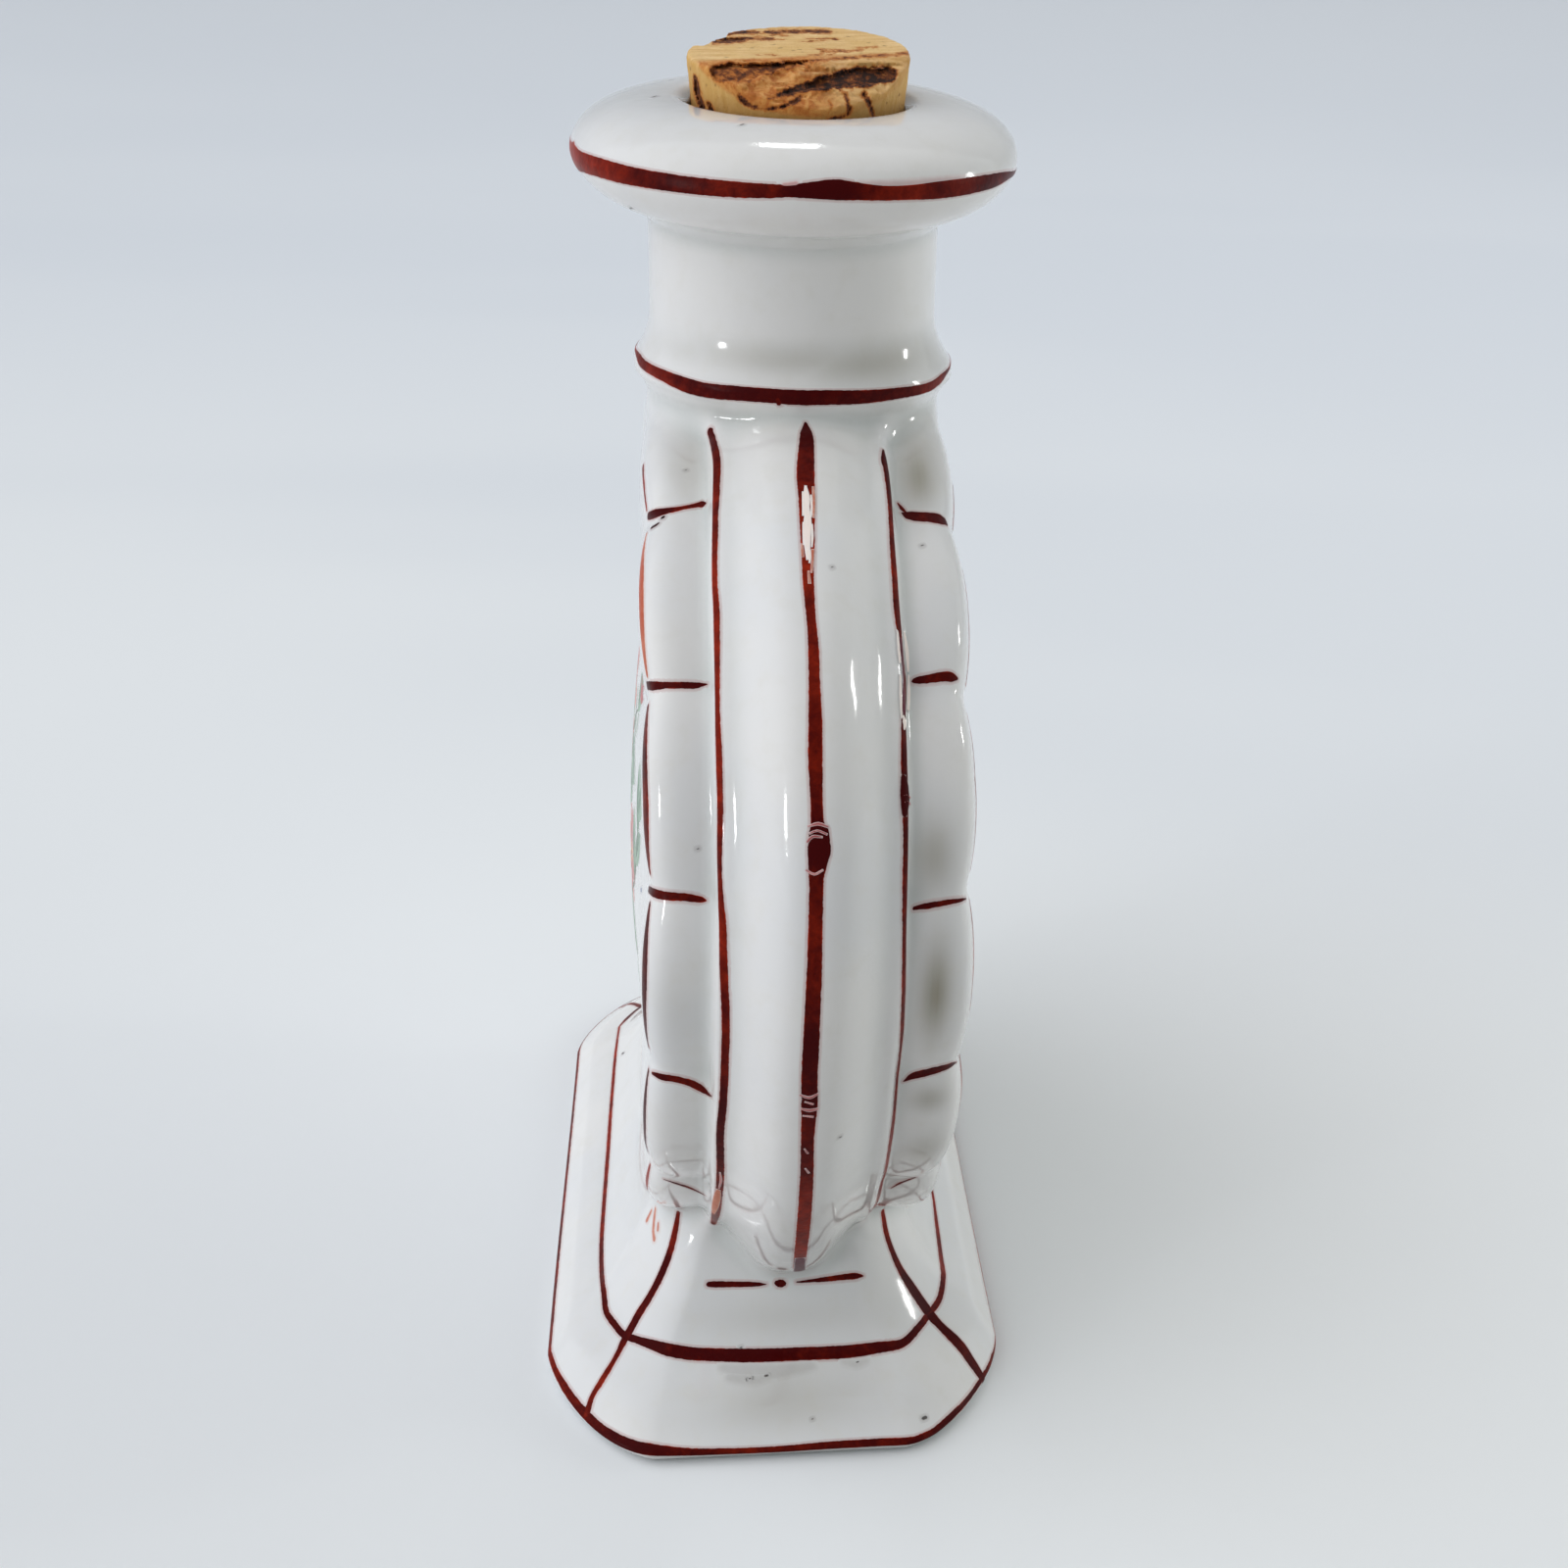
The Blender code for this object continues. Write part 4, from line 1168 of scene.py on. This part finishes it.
def blossom(side, x, y, radius, petals, turn):
    """A round flower: rings of cupped petal strokes about a dotted heart."""
    for ring, (share, count) in enumerate(((1.0, petals), (0.64, petals - 2))):
        size = radius * share
        for k in range(count):
            a = math.radians(turn + 360 * (k + 0.5 * ring) / count)
            knots = [(*around(x, y, size * (0.32 + 0.68 * r), a + w), h * size) for r, w, h in PETAL_STROKE]
            painted(side, knots, PETAL if (k + ring) % 3 else PETAL_PALE, 0.35 + 0.3 * ring, 0.9, 0.03)
    for k in range(9):
        dot_x, dot_y = around(x, y, 0.075 * radius * math.sqrt(k), 2.4 * k)
        painted(side, [(dot_x, dot_y, 0.32), (dot_x + 0.1, dot_y, 0.32)], YELLOW if k else RED, 0.6)


# The spray's parts, in millimetres from the middle of a medallion
STEMS = (
    [(-13, -19, 0.3), (-7, -12, 0.34), (-2, -4, 0.3), (1, 5, 0.28), (6, 12, 0.22), (12, 16, 0.12)],
    [(-4, -7, 0.3), (3, -9, 0.26), (10, -8, 0.24), (15, -4, 0.14)],
    [(-1, -1, 0.28), (-8, 3, 0.24), (-14, 9, 0.14)],
    [(-8, -13, 0.26), (-1, -17, 0.22), (6, -20, 0.12)],
)
SIDE_STEM = [(13, -6, 0.2), (17.2, -2.5, 0.24), (19.8, 3.5, 0.22), (20.8, 11, 0.1)]
# (across, up, turn in degrees, length, width)
LEAVES = (
    (-9, -14, 150, 9, 3.4), (-5, -9, 178, 9.5, 3.6), (3, -9, -52, 8.5, 3.4), (9, -8, -28, 9, 3.4),
    (0, 3, 8, 10, 3.8), (4, 9, -12, 9, 3.4), (-7, 2.5, 200, 9, 3.2), (-10, 5.5, 130, 9, 3.2),
    (2, 8, 118, 9, 3.4), (5, -19.5, 12, 8, 2.8), (-2, -17, -70, 7, 2.6), (11, 15.5, 60, 7, 2.6),
)
SIDE_LEAVES = (
    (17.4, -2, 112, 7.5, 2.4), (18.6, 0.5, 52, 6.5, 2.4), (19.9, 4.5, 108, 7.5, 2.4), (20.2, 6.5, 62, 6, 2.4),
    (20.7, 10.5, 88, 6, 2.4),
)
# (across, up, turn in degrees)
BUDS = ((13, 17.5, 50), (-15.5, 11, 120), (8.5, -20.5, -20))
BORDER_RADIUS = 24.5


def spray(side):
    for stem in STEMS:
        painted(side, stem, STEM, 0.7)
    for row in LEAVES:
        leaf(side, *row)
    blossom(side, -2.5, 12.5, 7.6, 9, 10)
    blossom(side, 11.5, -2.0, 5.4, 8, 35)
    painted(side, SIDE_STEM, STEM, 0.7)
    for row in SIDE_LEAVES:
        leaf(side, *row)
    blossom(side, -14.5, -5.0, 5.4, 8, 0)
    for x, y, turn in BUDS:
        for spread in (-0.5, 0, 0.5):
            tip = around(x, y, 3.2, math.radians(turn) + spread)
            painted(side, [(x, y, 0.3), ((x + tip[0]) / 2, (y + tip[1]) / 2, 0.62), (*tip, 0.15)], PETAL, 0.5)
    for k in range(11):
        x, y = around(0, 0, BORDER_RADIUS, math.radians(-120 + k * 30))
        painted(side, [(x, y, 0.3), (x + 0.3, y + 0.2, 0.26)], BLUE, 0.7)


spray(-1)
spray(1)
# What the photograph shows of the painting at the medallion's edge: (across, top, bottom, width) in pixels
EDGE_LEAVES = (
    (651.5, 702, 730, 2), (654, 700, 724, 2), (650, 722, 758, 3), (652, 728, 748, 2), (646, 768, 790, 3),
    (647.5, 775, 808, 4),
)
for px, top, bottom, width in EDGE_LEAVES:
    knots = [(px, top, 1), (px - 1, (top + bottom) / 2, width), (px - 2, bottom, 1)]
    seen("flower_spray", knots, LEAF, 0.6, 0.8, 0.03, False)


def bake_strips(name, rows):
    """Joins a group's strokes into one mesh with its brush attributes and the glaze's own normals."""
    faces = []
    start = 0
    for row in rows:
        faces += [[i + start for i in face] for face in row[1]]
        start += len(row[0])
    points, brush, thick, thin, normals = (np.vstack([row[i] for row in rows]) for i in (0, 2, 3, 4, 5))
    ob = mesh_piece(name, points * MM, faces)
    mesh = ob.data
    add_values(mesh, "brush", "FLOAT_VECTOR", brush)
    add_values(mesh, "thick", "FLOAT_COLOR", thick)
    add_values(mesh, "thin", "FLOAT_COLOR", thin)
    shade_glaze(mesh, points)
    mesh.normals_split_custom_set_from_vertices(normals.tolist())
    mesh.materials.append(porcelain)
    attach(ob, "flask")


# How far from a point the hollowness is measured, and the mean of the field at which it is full, in
# millimetres
POOL_REACH, POOL_FULL = 1.6, 0.45


def gathering_and_shade(points):
    """How much glaze has gathered, and how much painted shade, at each point, from 0 to 1: a hollow has more
    of both than a bulge.
    """
    normal = unit(slope_of(points))
    out = np.zeros(len(points))
    tangent = unit(np.cross(normal, np.where(np.abs(normal[:, 2:]) < 0.9, (0, 0, 1.0), (1.0, 0, 0))))
    other = np.cross(normal, tangent)
    for way in (tangent, -tangent, other, -other):
        out += field(points + way * POOL_REACH) / 4
    return np.clip(-out / POOL_FULL, 0, 1)


# Painted shade: olive-grey patches where the photograph shows the glaze in shade, on the lobes, the neck and
# the pedestal: (across, down, half width, half height) in pixels, and how much
PAINTED_SHADE_SPOTS = [
    (938, 487, 18, 22, 0.72), (953, 874, 19, 34, 0.56), (955, 1015, 15, 50, 0.9), (948, 1122, 18, 16, 0.55),
    (945, 1172, 20, 26, 0.44), (702, 474, 22, 22, 0.24), (688, 1030, 24, 40, 0.12), (890, 372, 66, 17, 0.48),
    (805, 368, 80, 14, 0.36), (700, 358, 30, 12, 0.14), (930, 428, 34, 12, 0.1), (800, 1432, 95, 17, 0.36),
    (800, 1345, 105, 16, 0.2), (770, 430, 60, 10, 0.14),
]
# How deep a patch of painted shade goes, in millimetres
SHADE_SPOT_DEPTH = 13
# The painted shadow round the mouth, where the cork sits: its radius, how far it fades, and how much
MOUTH_SHADOW = (11.75, 0.7, 0.75)


def painted_shade_share(points):
    """How much painted olive shade each point has, with the painted shadow round the mouth."""
    share = np.zeros(len(points))
    for px, py, wide, tall, much in PAINTED_SHADE_SPOTS:
        hit = np.array(rest_tree.ray_cast(CAMERA_AT, pixel_ray(px, py))[0]) / MM
        x, y, z = ((points - hit) * (1 / SHADE_SPOT_DEPTH, PIXELS / wide, PIXELS / tall)).T
        share = np.maximum(share, much * np.exp(-(x**2 + y**2 + z**2)))
    radius, fade, much = MOUTH_SHADOW
    gap = np.hypot(points[:, 0], points[:, 1]) - radius
    return np.maximum(share, much * (1 - smooth_step(gap / fade)) * (points[:, 2] > SEAT_HEIGHT - 8))


def shade_glaze(mesh, points):
    add_values(mesh, "pooled_and_shade", "FLOAT", gathering_and_shade(points))
    add_values(mesh, "painted_shade", "FLOAT", painted_shade_share(points))


lay_strokes()
for group, rows in strips.items():
    bake_strips(group, rows)
shade_glaze(flask.data, net_points)
flask.data.materials.append(porcelain)
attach(flask, "flask")
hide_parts("porcelain_flask")

# The cork, as a second field
CORK_RADIUS = 10.7
CORK_TAPER = 0.11
CORK_BOTTOM = -15.6
CORK_TOP = 7.14
CORK_BACK_SLANT = 0.142
CORK_SIDE_SLANT = 0.03
CORK_EDGE = 0.5
CHIP_AT = (5.5, -5, 6.2)
CHIP_SLOPE = math.radians(30)
CHIP_LEAN = 0.047
# A bite out of the top's rim at the back on the left: (angle in degrees, depth)
BITE = np.array([(-180, 0), (-140, 0), (-135.5, 0.72), (-129, 0.85), (-112, 0.4), (-104, 0), (180, 0)])
BITE_REACH = (9.7, 10.4)


def hashed(i, j, k, seed):
    """Random numbers from 0 to 1, one for each corner of a lattice."""
    n = (i * 73856093) ^ (j * 19349663) ^ (k * 83492791) ^ (seed * 2654435)
    n = ((n ^ (n >> 13)) * 1274126177) & 0x7FFFFFFF
    n = ((n ^ (n >> 15)) * 49979687) & 0x7FFFFFFF
    return n / 0x7FFFFFFF


def lattice_noise(x, y, z, seed):
    """Smooth noise from -1 to 1 for whole arrays at once."""
    corner = [np.floor(v).astype(np.int64) for v in (x, y, z)]
    part = [smooth_step(v - c) for v, c in zip((x, y, z), corner)]
    total = 0
    for step in np.ndindex(2, 2, 2):
        share = 1
        for up, along in zip(step, part):
            share = share * (along if up else 1 - along)
        total = total + share * hashed(*(c + up for c, up in zip(corner, step)), seed)
    return total * 2 - 1


def whole_cork(points):
    """The cork before it is chipped and cracked. Millimetres, with z from the seat."""
    x, y, z = points[..., 0], points[..., 1], points[..., 2]
    lift = np.clip(z / CORK_TOP, 0, 1)
    height = z - lift * lift * (CORK_SIDE_SLANT * y - CORK_BACK_SLANT * x)
    wobble = 1 - 0.012 * lift * (1 + np.cos(3 * np.arctan2(y, x) + 1))
    side = np.hypot(x, y) / wobble - CORK_RADIUS - CORK_TAPER * height
    top = z - CORK_TOP - CORK_SIDE_SLANT * y + CORK_BACK_SLANT * x
    low, high = BITE_REACH
    bite = smooth_step((np.hypot(x, y) - low) / (high - low))
    top = top + np.interp(np.degrees(np.arctan2(y, x)), *BITE.T) * bite
    solid = smooth_max(side, np.maximum(top, CORK_BOTTOM - z), 1.3 * CORK_EDGE)
    fall = z - CHIP_AT[2] + CHIP_LEAN * (y - CHIP_AT[1])
    chip = (x - CHIP_AT[0]) * math.sin(CHIP_SLOPE) + fall * math.cos(CHIP_SLOPE)
    return solid, chip


def pixels_of(points):
    """Where points, in millimetres from the seat, fall in the picture."""
    gaze = (points + (0, 0, SEAT_HEIGHT)) * MM - np.array(CAMERA_AT)
    depth = gaze @ np.array(forward)
    shift = np.stack([gaze @ np.array(right), -(gaze @ np.array(upward))], 1)
    return PICTURE / 2 + FOCAL_PIXELS * shift / depth[:, None]


# The search for the cork's skin along a ray: where it starts, in millimetres from the camera, its steps as a
# share of the gap, how near is near enough, and how often it tries
SEARCH_FROM, SEARCH_STRIDE, SEARCH_NEAR, SEARCH_TRIES = 170, 0.7, 0.01, 160


def cork_skin(px, py):
    """Where the ray through a pixel meets the whole cork."""
    way = np.array(pixel_ray(px, py))
    at = np.array(CAMERA_AT) / MM - (0, 0, SEAT_HEIGHT)
    at = at + way * SEARCH_FROM
    for _ in range(SEARCH_TRIES):
        solid, chip = whole_cork(at[None])
        gap = float(np.maximum(solid, chip)[0])
        if gap < SEARCH_NEAR:
            return at
        at = at + way * max(SEARCH_STRIDE * gap, SEARCH_NEAR)
    return None


# Cracks and fissures that the photograph shows: darkness, then (across, down, width) pixels
FISSURES = [
    (0.52, [(732, 74, 16), (742, 74, 19), (755, 74, 19), (768, 73, 17), (780, 70.5, 13), (796, 67.5, 9),
        (812, 65, 6), (824, 63, 3), (830, 62.3, 2)]),
    (0.72, [(756, 80, 3), (763, 74, 6), (772, 71, 8), (786, 68.5, 6), (800, 66.5, 4)]),
    (0.45, [(830, 62.3, 1.6), (846, 60.6, 1.2), (877, 58, 1.6), (900, 56.6, 1), (916, 55.7, 2),
        (930, 53.6, 1)]),
    (0.40, [(838, 53, 1.8), (856, 52.6, 1.5), (880, 50.5, 1)]), (0.30, [(866, 50.4, 1), (895, 48, 1)]),
    (0.88, [(826, 87.5, 9), (838, 84.5, 12), (855, 82, 17), (870, 80, 19), (885, 78.5, 18), (900, 76.5, 16),
        (908, 75, 13), (912, 73.6, 6)]),
    (0.85, [(794, 97, 3), (808, 93, 7), (822, 88.5, 9), (830, 86.5, 9)]),
    (0.75, [(754.5, 98.5, 3), (758, 103, 4), (762, 106.5, 3.5), (770, 109, 2), (781, 111.5, 2),
        (790, 110.5, 2.2), (803, 107.5, 3), (812, 103, 4), (817, 99, 3)]),
    (0.55, [(783, 100.6, 1.5), (797, 98.6, 2), (812, 97, 1.5)]),
    (0.70, [(862.4, 95, 2), (865.6, 106, 2.5), (867, 112.6, 4), (860.8, 119, 3), (846, 122, 2)]),
    (0.75, [(882, 96.3, 5), (886, 102.8, 3.5), (890, 112.6, 2), (892.5, 121, 1.5)]),
    (0.30, [(846, 102.8, 1.5), (848.6, 109.3, 1.5), (843.7, 119, 1.5)]),
    (0.80, [(709.5, 78.4, 2.5), (711, 91.4, 4.5), (714.4, 104, 4.5), (716.8, 111, 4)]),
    (0.65, [(722.5, 105, 3), (726, 111, 4), (729, 116, 4)]),
    (0.75, [(744, 34.8, 1), (755, 33, 1.8), (766, 32.6, 2.4), (773, 33, 1.4)]),
    (0.75, [(781, 32.6, 1.6), (804, 32.2, 2), (820, 32, 2), (836, 32, 1.8), (847, 32.4, 1.2)]),
    (0.70, [(728, 43.3, 2), (733, 41.8, 3.4), (742, 41, 4.6), (755, 40.6, 4), (761.6, 40, 2.4),
        (774.6, 39.2, 1.3), (788, 39.4, 1)]),
]
# Each crack: darkness, (x, y, z, half width) in millimetres, and (across, down, half width) in pixels or none
cracks = []
for darkness, knots in FISSURES:
    path, shown = [], []
    for px, py, width in smooth_path(knots, 3, 2):
        at = cork_skin(px, py)
        if at is not None:
            path.append((*at, max(width / 2 / PIXELS, 0.09)))
            shown.append((px, py, max(width / 2, 0.6)))
    if len(path) > 1:
        cracks.append((darkness, np.array(path), np.array(shown)))

# The same kind of cracks round the sides and the back, where the photograph can't show them
random = np.random.default_rng(11)
for number in range(26):
    turn = random.uniform(0.9, 2 * math.pi - 0.9)
    low = random.uniform(-14, 4)
    length = random.uniform(1.2, 5.5)
    lean = random.uniform(-0.12, 0.12)
    path = []
    for share in np.linspace(0, 1, 8):
        h = low + length * share
        a = turn + lean * share + 0.03 * math.sin(9 * share + number)
        r = CORK_RADIUS + CORK_TAPER * h
        half = random.uniform(0.12, 0.34) * math.sin(math.pi * min(0.15 + 0.8 * share, 1))
        path.append((r * math.cos(a), r * math.sin(a), h, half))
    cracks.append((random.uniform(0.5, 0.9), np.array(path), None))
for number in range(9):
    x = random.uniform(-8, 3)
    y = random.uniform(-6, 4)
    path = []
    for share in np.linspace(0, 1, 6):
        at_x, at_y = x + 0.5 * share * random.uniform(-1, 1), y + random.uniform(1, 3) * share
        top = CORK_TOP + CORK_SIDE_SLANT * at_y - CORK_BACK_SLANT * at_x
        path.append((at_x, at_y, top, random.uniform(0.06, 0.12)))
    cracks.append((0.5, np.array(path), None))


# The gap, in millimetres, of a point that has no crack near it
NO_CRACK = 9.0


def off_path(points, path):
    """Gap from each point to a path whose last column is its half width."""
    best = np.full(len(points), NO_CRACK * PIXELS)
    for a, b in zip(path, path[1:]):
        run = b[:-1] - a[:-1]
        t = np.clip(((points - a[:-1]) @ run) / (run @ run + 1e-9), 0, 1)
        away = np.linalg.norm(points - a[:-1] - t[:, None] * run, axis=1) - (a[-1] + (b[-1] - a[-1]) * t)
        best = np.minimum(best, away)
    return best


def near_cracks(points, skin):
    """(gap to the nearest crack, darkness) of points that lie at these heights over the uncracked skin."""
    gap = np.full(len(points), NO_CRACK)
    char = np.zeros(len(points))
    for darkness, path, shown in cracks:
        reach = 1.6 if shown is None else 2.6
        low, high = path[:, :3].min(0) - reach, path[:, :3].max(0) + reach
        close = np.flatnonzero(((points > low) & (points < high)).all(1))
        if not len(close):
            continue
        here = points[close]
        broad = path[:, 3].max()
        if shown is None:
            best, halo = off_path(here, path), 1.3
        else:
            best, halo = off_path(pixels_of(here), shown) / PIXELS, 0.6
        ragged = 0.16 * lattice_noise(*(here * 2.1).T, 5) + 0.08 * lattice_noise(*(here * 5.3).T, 6)
        best = best + ragged * np.clip(broad / 0.5, 0.1, 1.3)
        char[close] = np.maximum(char[close], darkness * (1 - smooth_step((best + 0.05) / 0.32)))
        char[close] = np.maximum(char[close], 0.30 * darkness * (1 - smooth_step(best / halo)))
        if shown is not None:
            best = np.maximum(best + 0.1, -(skin[close] + 0.18 + 0.3 * broad))
        gap[close] = np.minimum(gap[close], best)
    return gap, char


def cork_field(points):
    flat = points.reshape(-1, 3)
    solid, chip = whole_cork(flat)
    near = np.flatnonzero(np.abs(np.maximum(solid, chip)) < 2.2)
    at = flat[near]
    rough = lattice_noise(*(at * (0.9, 0.5, 0.9)).T, 1)
    fine = lattice_noise(*(at * 3.4).T, 2)
    grain = lattice_noise(*(at * (4.5, 4.5, 0.8)).T, 3)
    broken = chip[near] + 0.30 * rough + 0.12 * fine + 0.22 * lattice_noise(*(at * (1.2, 0.45, 3.2)).T, 4)
    skin = solid[near] + 0.035 * rough + 0.03 * fine + 0.03 * grain
    gap = near_cracks(at, np.maximum(solid, chip)[near])[0]
    out = np.maximum(solid, chip)
    out[near] = smooth_max(smooth_max(skin, broken, 0.2), -gap, 0.12)
    return out.reshape(points.shape[:-1])


CORK_BOX = (-12.6, -12.6, -16.4), (12.6, 12.6, 9.4)
CORK_STEP = 0.2
cork_points, cork_quads = settled(*CORK_BOX, CORK_STEP, rounds=2, passes=1, share=0.5, solid=cork_field)
solid, chip = whole_cork(cork_points)
char = near_cracks(cork_points, np.maximum(solid, chip))[1]
# Bare, broken cork lies near the chip's own face, and less of it on the right
bare = 1 - smooth_step((np.abs(chip + 0.2) - 0.35) / 0.5)
bare = bare * (1 - 0.7 * smooth_step((cork_points[:, 1] - 0.5) / 4))
cork = mesh_piece("natural_cork", (cork_points + (0, 0, SEAT_HEIGHT)) * MM, cork_quads.tolist())
add_values(cork.data, "char", "FLOAT", char)
add_values(cork.data, "bare", "FLOAT", bare)


def natural_cork():
    """Tan cork with growth lines across it, orange where it is broken, and dark in its cracks."""
    g = Graph(bpy.data.materials.new("natural_cork"))
    lines = g.noise(1.0, 4, 0.65, 0.5, g.stretched(1.5, 0.16, 0.16))
    tone = g.mix(g.between(lines, 0.3, 0.7), srgb(240, 208, 152), srgb(216, 174, 112))
    tone = g.mix(g.between(g.noise(0.28, 4, 0.6), 0.35, 0.7, 0, 0.7), tone, srgb(222, 184, 118))
    grains = g.noise(2.6, 4, 0.7)
    tone = g.mix(g.between(grains, 0.56, 0.74, 0, 0.5), tone, srgb(170, 116, 60))
    wall = g.parts(g.node("NewGeometry").outputs["Normal"])[2]
    tone = g.mix(g.between(wall, 0.25, 0.8, 0.55, 0.0), tone, srgb(200, 152, 70))
    height = g.parts(g.place())[2]
    low = g.between(height, SEAT_HEIGHT + 0.5, SEAT_HEIGHT + 4.5, 0.7, 0.0)
    tone = g.mix(low, tone, srgb(136, 84, 6))
    pore = g.between(g.cells(1.0, g.stretched(1.1, 0.55, 0.7))["Distance"], 0.08, 0.2, 1, 0)
    pore = g.times(pore, g.between(g.noise(0.5, 2, 0.5), 0.42, 0.6))
    tone = g.mix(g.times(pore, 0.65), tone, srgb(108, 62, 30))
    torn = g.noise(0.9, 5, 0.7, 0.8)
    orange = g.mix(g.between(torn, 0.35, 0.65), srgb(214, 142, 66), srgb(176, 98, 36))
    tone = g.mix(g.times(g.attribute("bare")["Fac"], g.between(torn, 0.2, 0.6, 0.45, 0.95)), tone, orange)
    char = g.attribute("char")["Fac"]
    char = g.plus(char, g.times(g.swing(2.3, 0.9, 5, 0.75), g.between(char, 0.02, 0.3)), True)
    tone = g.mix(g.between(char, 0.05, 0.35, 0, 0.8), tone, srgb(186, 108, 40))
    tone = g.mix(g.between(char, 0.34, 0.72), tone, srgb(112, 58, 24))
    tone = g.mix(g.between(char, 0.68, 1.0), tone, srgb(42, 22, 14))
    relief = g.minus(g.plus(g.times(lines, 0.4), g.times(grains, 0.8)), g.times(pore, 0.8))
    normal = g.bump(relief, 0.12)
    g.shade({"Base Color": tone, "Roughness": 0.78, "Specular IOR Level": 0.3, "Normal": normal})
    return g.owner


cork.data.materials.append(natural_cork())
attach(cork, "cork")
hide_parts("cork_stopper")


# Floor and light
FLOOR_FRONT = (0.22, 0.22, 0.21, 1)
FLOOR_RIGHT = (0.88, 0.88, 0.87, 1)
FLOOR_LEFT = (0.76, 0.76, 0.78, 1)


def sweep():
    """A pale floor that curves up into a backdrop behind the flask."""
    profile = [(1.2, 0)]
    profile += [(-0.9 - 0.5 * math.sin(a), 0.5 - 0.5 * math.cos(a)) for a in np.linspace(0, math.pi / 2, 16)]
    profile += [(-1.4, 2.4)]
    points = [(x, y, z) for x, z in profile for y in (-2.2, 2.2)]
    faces = [(i, i + 1, i + 3, i + 2) for i in range(0, len(points) - 2, 2)]
    ob = mesh_piece("backdrop", points, faces)
    g = Graph(bpy.data.materials.new("backdrop"))
    soft = g.noise(0.0035, 2, 0.5, 0.3, g.stretched(1, 0.35, 1))
    shown = g.mix(g.between(soft, 0.4, 0.62), srgb(238, 242, 243), srgb(229, 234, 237))
    at = g.parts(g.place())
    shown = g.mix(g.between(at[0], -700, 60, 0.8, 0.0), shown, srgb(218, 225, 232))
    # What bounces onto the flask: much from both sides, little from the front
    aside = g.parts(g.node("VectorMath", g.place(), operation="NORMALIZE").outputs[0])[1]
    bounced = g.mix(g.between(aside, 0.1, 0.8), FLOOR_FRONT, FLOOR_RIGHT)
    bounced = g.mix(g.between(g.times(aside, -1.0), 0.0, 0.7), bounced, FLOOR_LEFT)
    direct = g.direct()
    g.shade({"Base Color": g.mix(direct, bounced, shown), "Roughness": 0.9, "Specular IOR Level": 0.15})
    # The wall only stands for the room behind: light that reaches the flask from there passes through it
    wall = g.times(g.math("GREATER_THAN", at[2], 5.0), g.minus(1.0, direct))
    clear = g.node("BsdfTransparent").outputs[0]
    both = g.node("MixShader", wall, g.nodes["Principled BSDF"].outputs[0], clear)
    g.feed(g.nodes["Material Output"].inputs["Surface"], both.outputs[0])
    ob.data.materials.append(g.owner)


sweep()

WORLD_BASE = (0.04, 0.04, 0.04, 1)
WORLD_SHOWN = srgb(210, 215, 219)
# Soft patches of light in the room: (azimuth and elevation in degrees, half width in degrees, colour)
PATCHES = (
    (-90, 48, 50, (1.48, 1.49, 1.58, 1)),
    (-45, 12, 50, (0.86, 0.86, 0.87, 1)),
    (-90, 12, 50, (0.25, 0.26, 0.28, 1)),
    (90, 12, 50, (0.8, 0.83, 0.82, 1)),
    (135, 12, 50, (1.3, 1.3, 1.3, 1)),
    (0, 88, 45, (0.5, 0.49, 0.47, 1)),
)


def toward(azimuth, elevation):
    """The way out into the room at those angles, in degrees."""
    a, e = math.radians(azimuth), math.radians(elevation)
    return Vector((math.cos(a) * math.cos(e), math.sin(a) * math.cos(e), math.sin(e)))


def studio_world():
    """Soft light from high left and from behind on the right, and little from the photographer's side."""
    world = bpy.data.worlds.new("studio")
    bpy.context.scene.world = world
    g = Graph(world)
    gaze = g.node("TexCoord").outputs["Generated"]
    colour = WORLD_BASE
    for azimuth, elevation, spread, light in PATCHES:
        near = g.node("VectorMath", gaze, toward(azimuth, elevation), operation="DOT_PRODUCT")
        share = g.between(near.outputs["Value"], math.cos(math.radians(spread)), 1)
        colour = g.mix(share, colour, light, "ADD")
    # The room itself is pale wherever it is seen or reflected
    background = g.nodes["Background"].inputs
    g.feed(background["Color"], g.mix(g.direct(), colour, WORLD_SHOWN))
    g.feed(background["Strength"], 1)


studio_world()

LAMP_TARGET = Vector((0, 0, 0.075))
# (name, azimuth and elevation in degrees, distance, width, height, watts, colour)
LAMPS = [
    ("left_lamp", -58, 7, 1.1, 0.09, 0.14, 1.0, (0.97, 0.98, 1)),
    ("right_lamp", 97.5, 16, 1.1, 0.05, 0.16, 0.6, (1, 0.99, 0.97)),
    ("top_lamp", 178, 62, 1.2, 0.17, 0.12, 0.7, (1, 1, 1)),
]
for name, azimuth, elevation, distance, width, height, watts, colour in LAMPS:
    data = bpy.data.lights.new(name, "AREA")
    data.shape = "RECTANGLE"
    data.size = width
    data.size_y = height
    data.energy = watts
    data.color = colour
    lamp = bpy.data.objects.new(name, data)
    bpy.context.scene.collection.objects.link(lamp)
    way = toward(azimuth, elevation)
    lamp.location = LAMP_TARGET + way * distance
    lamp.rotation_euler = way.to_track_quat("Z", "Y").to_euler()

bpy.context.scene.view_settings.view_transform = "Standard"
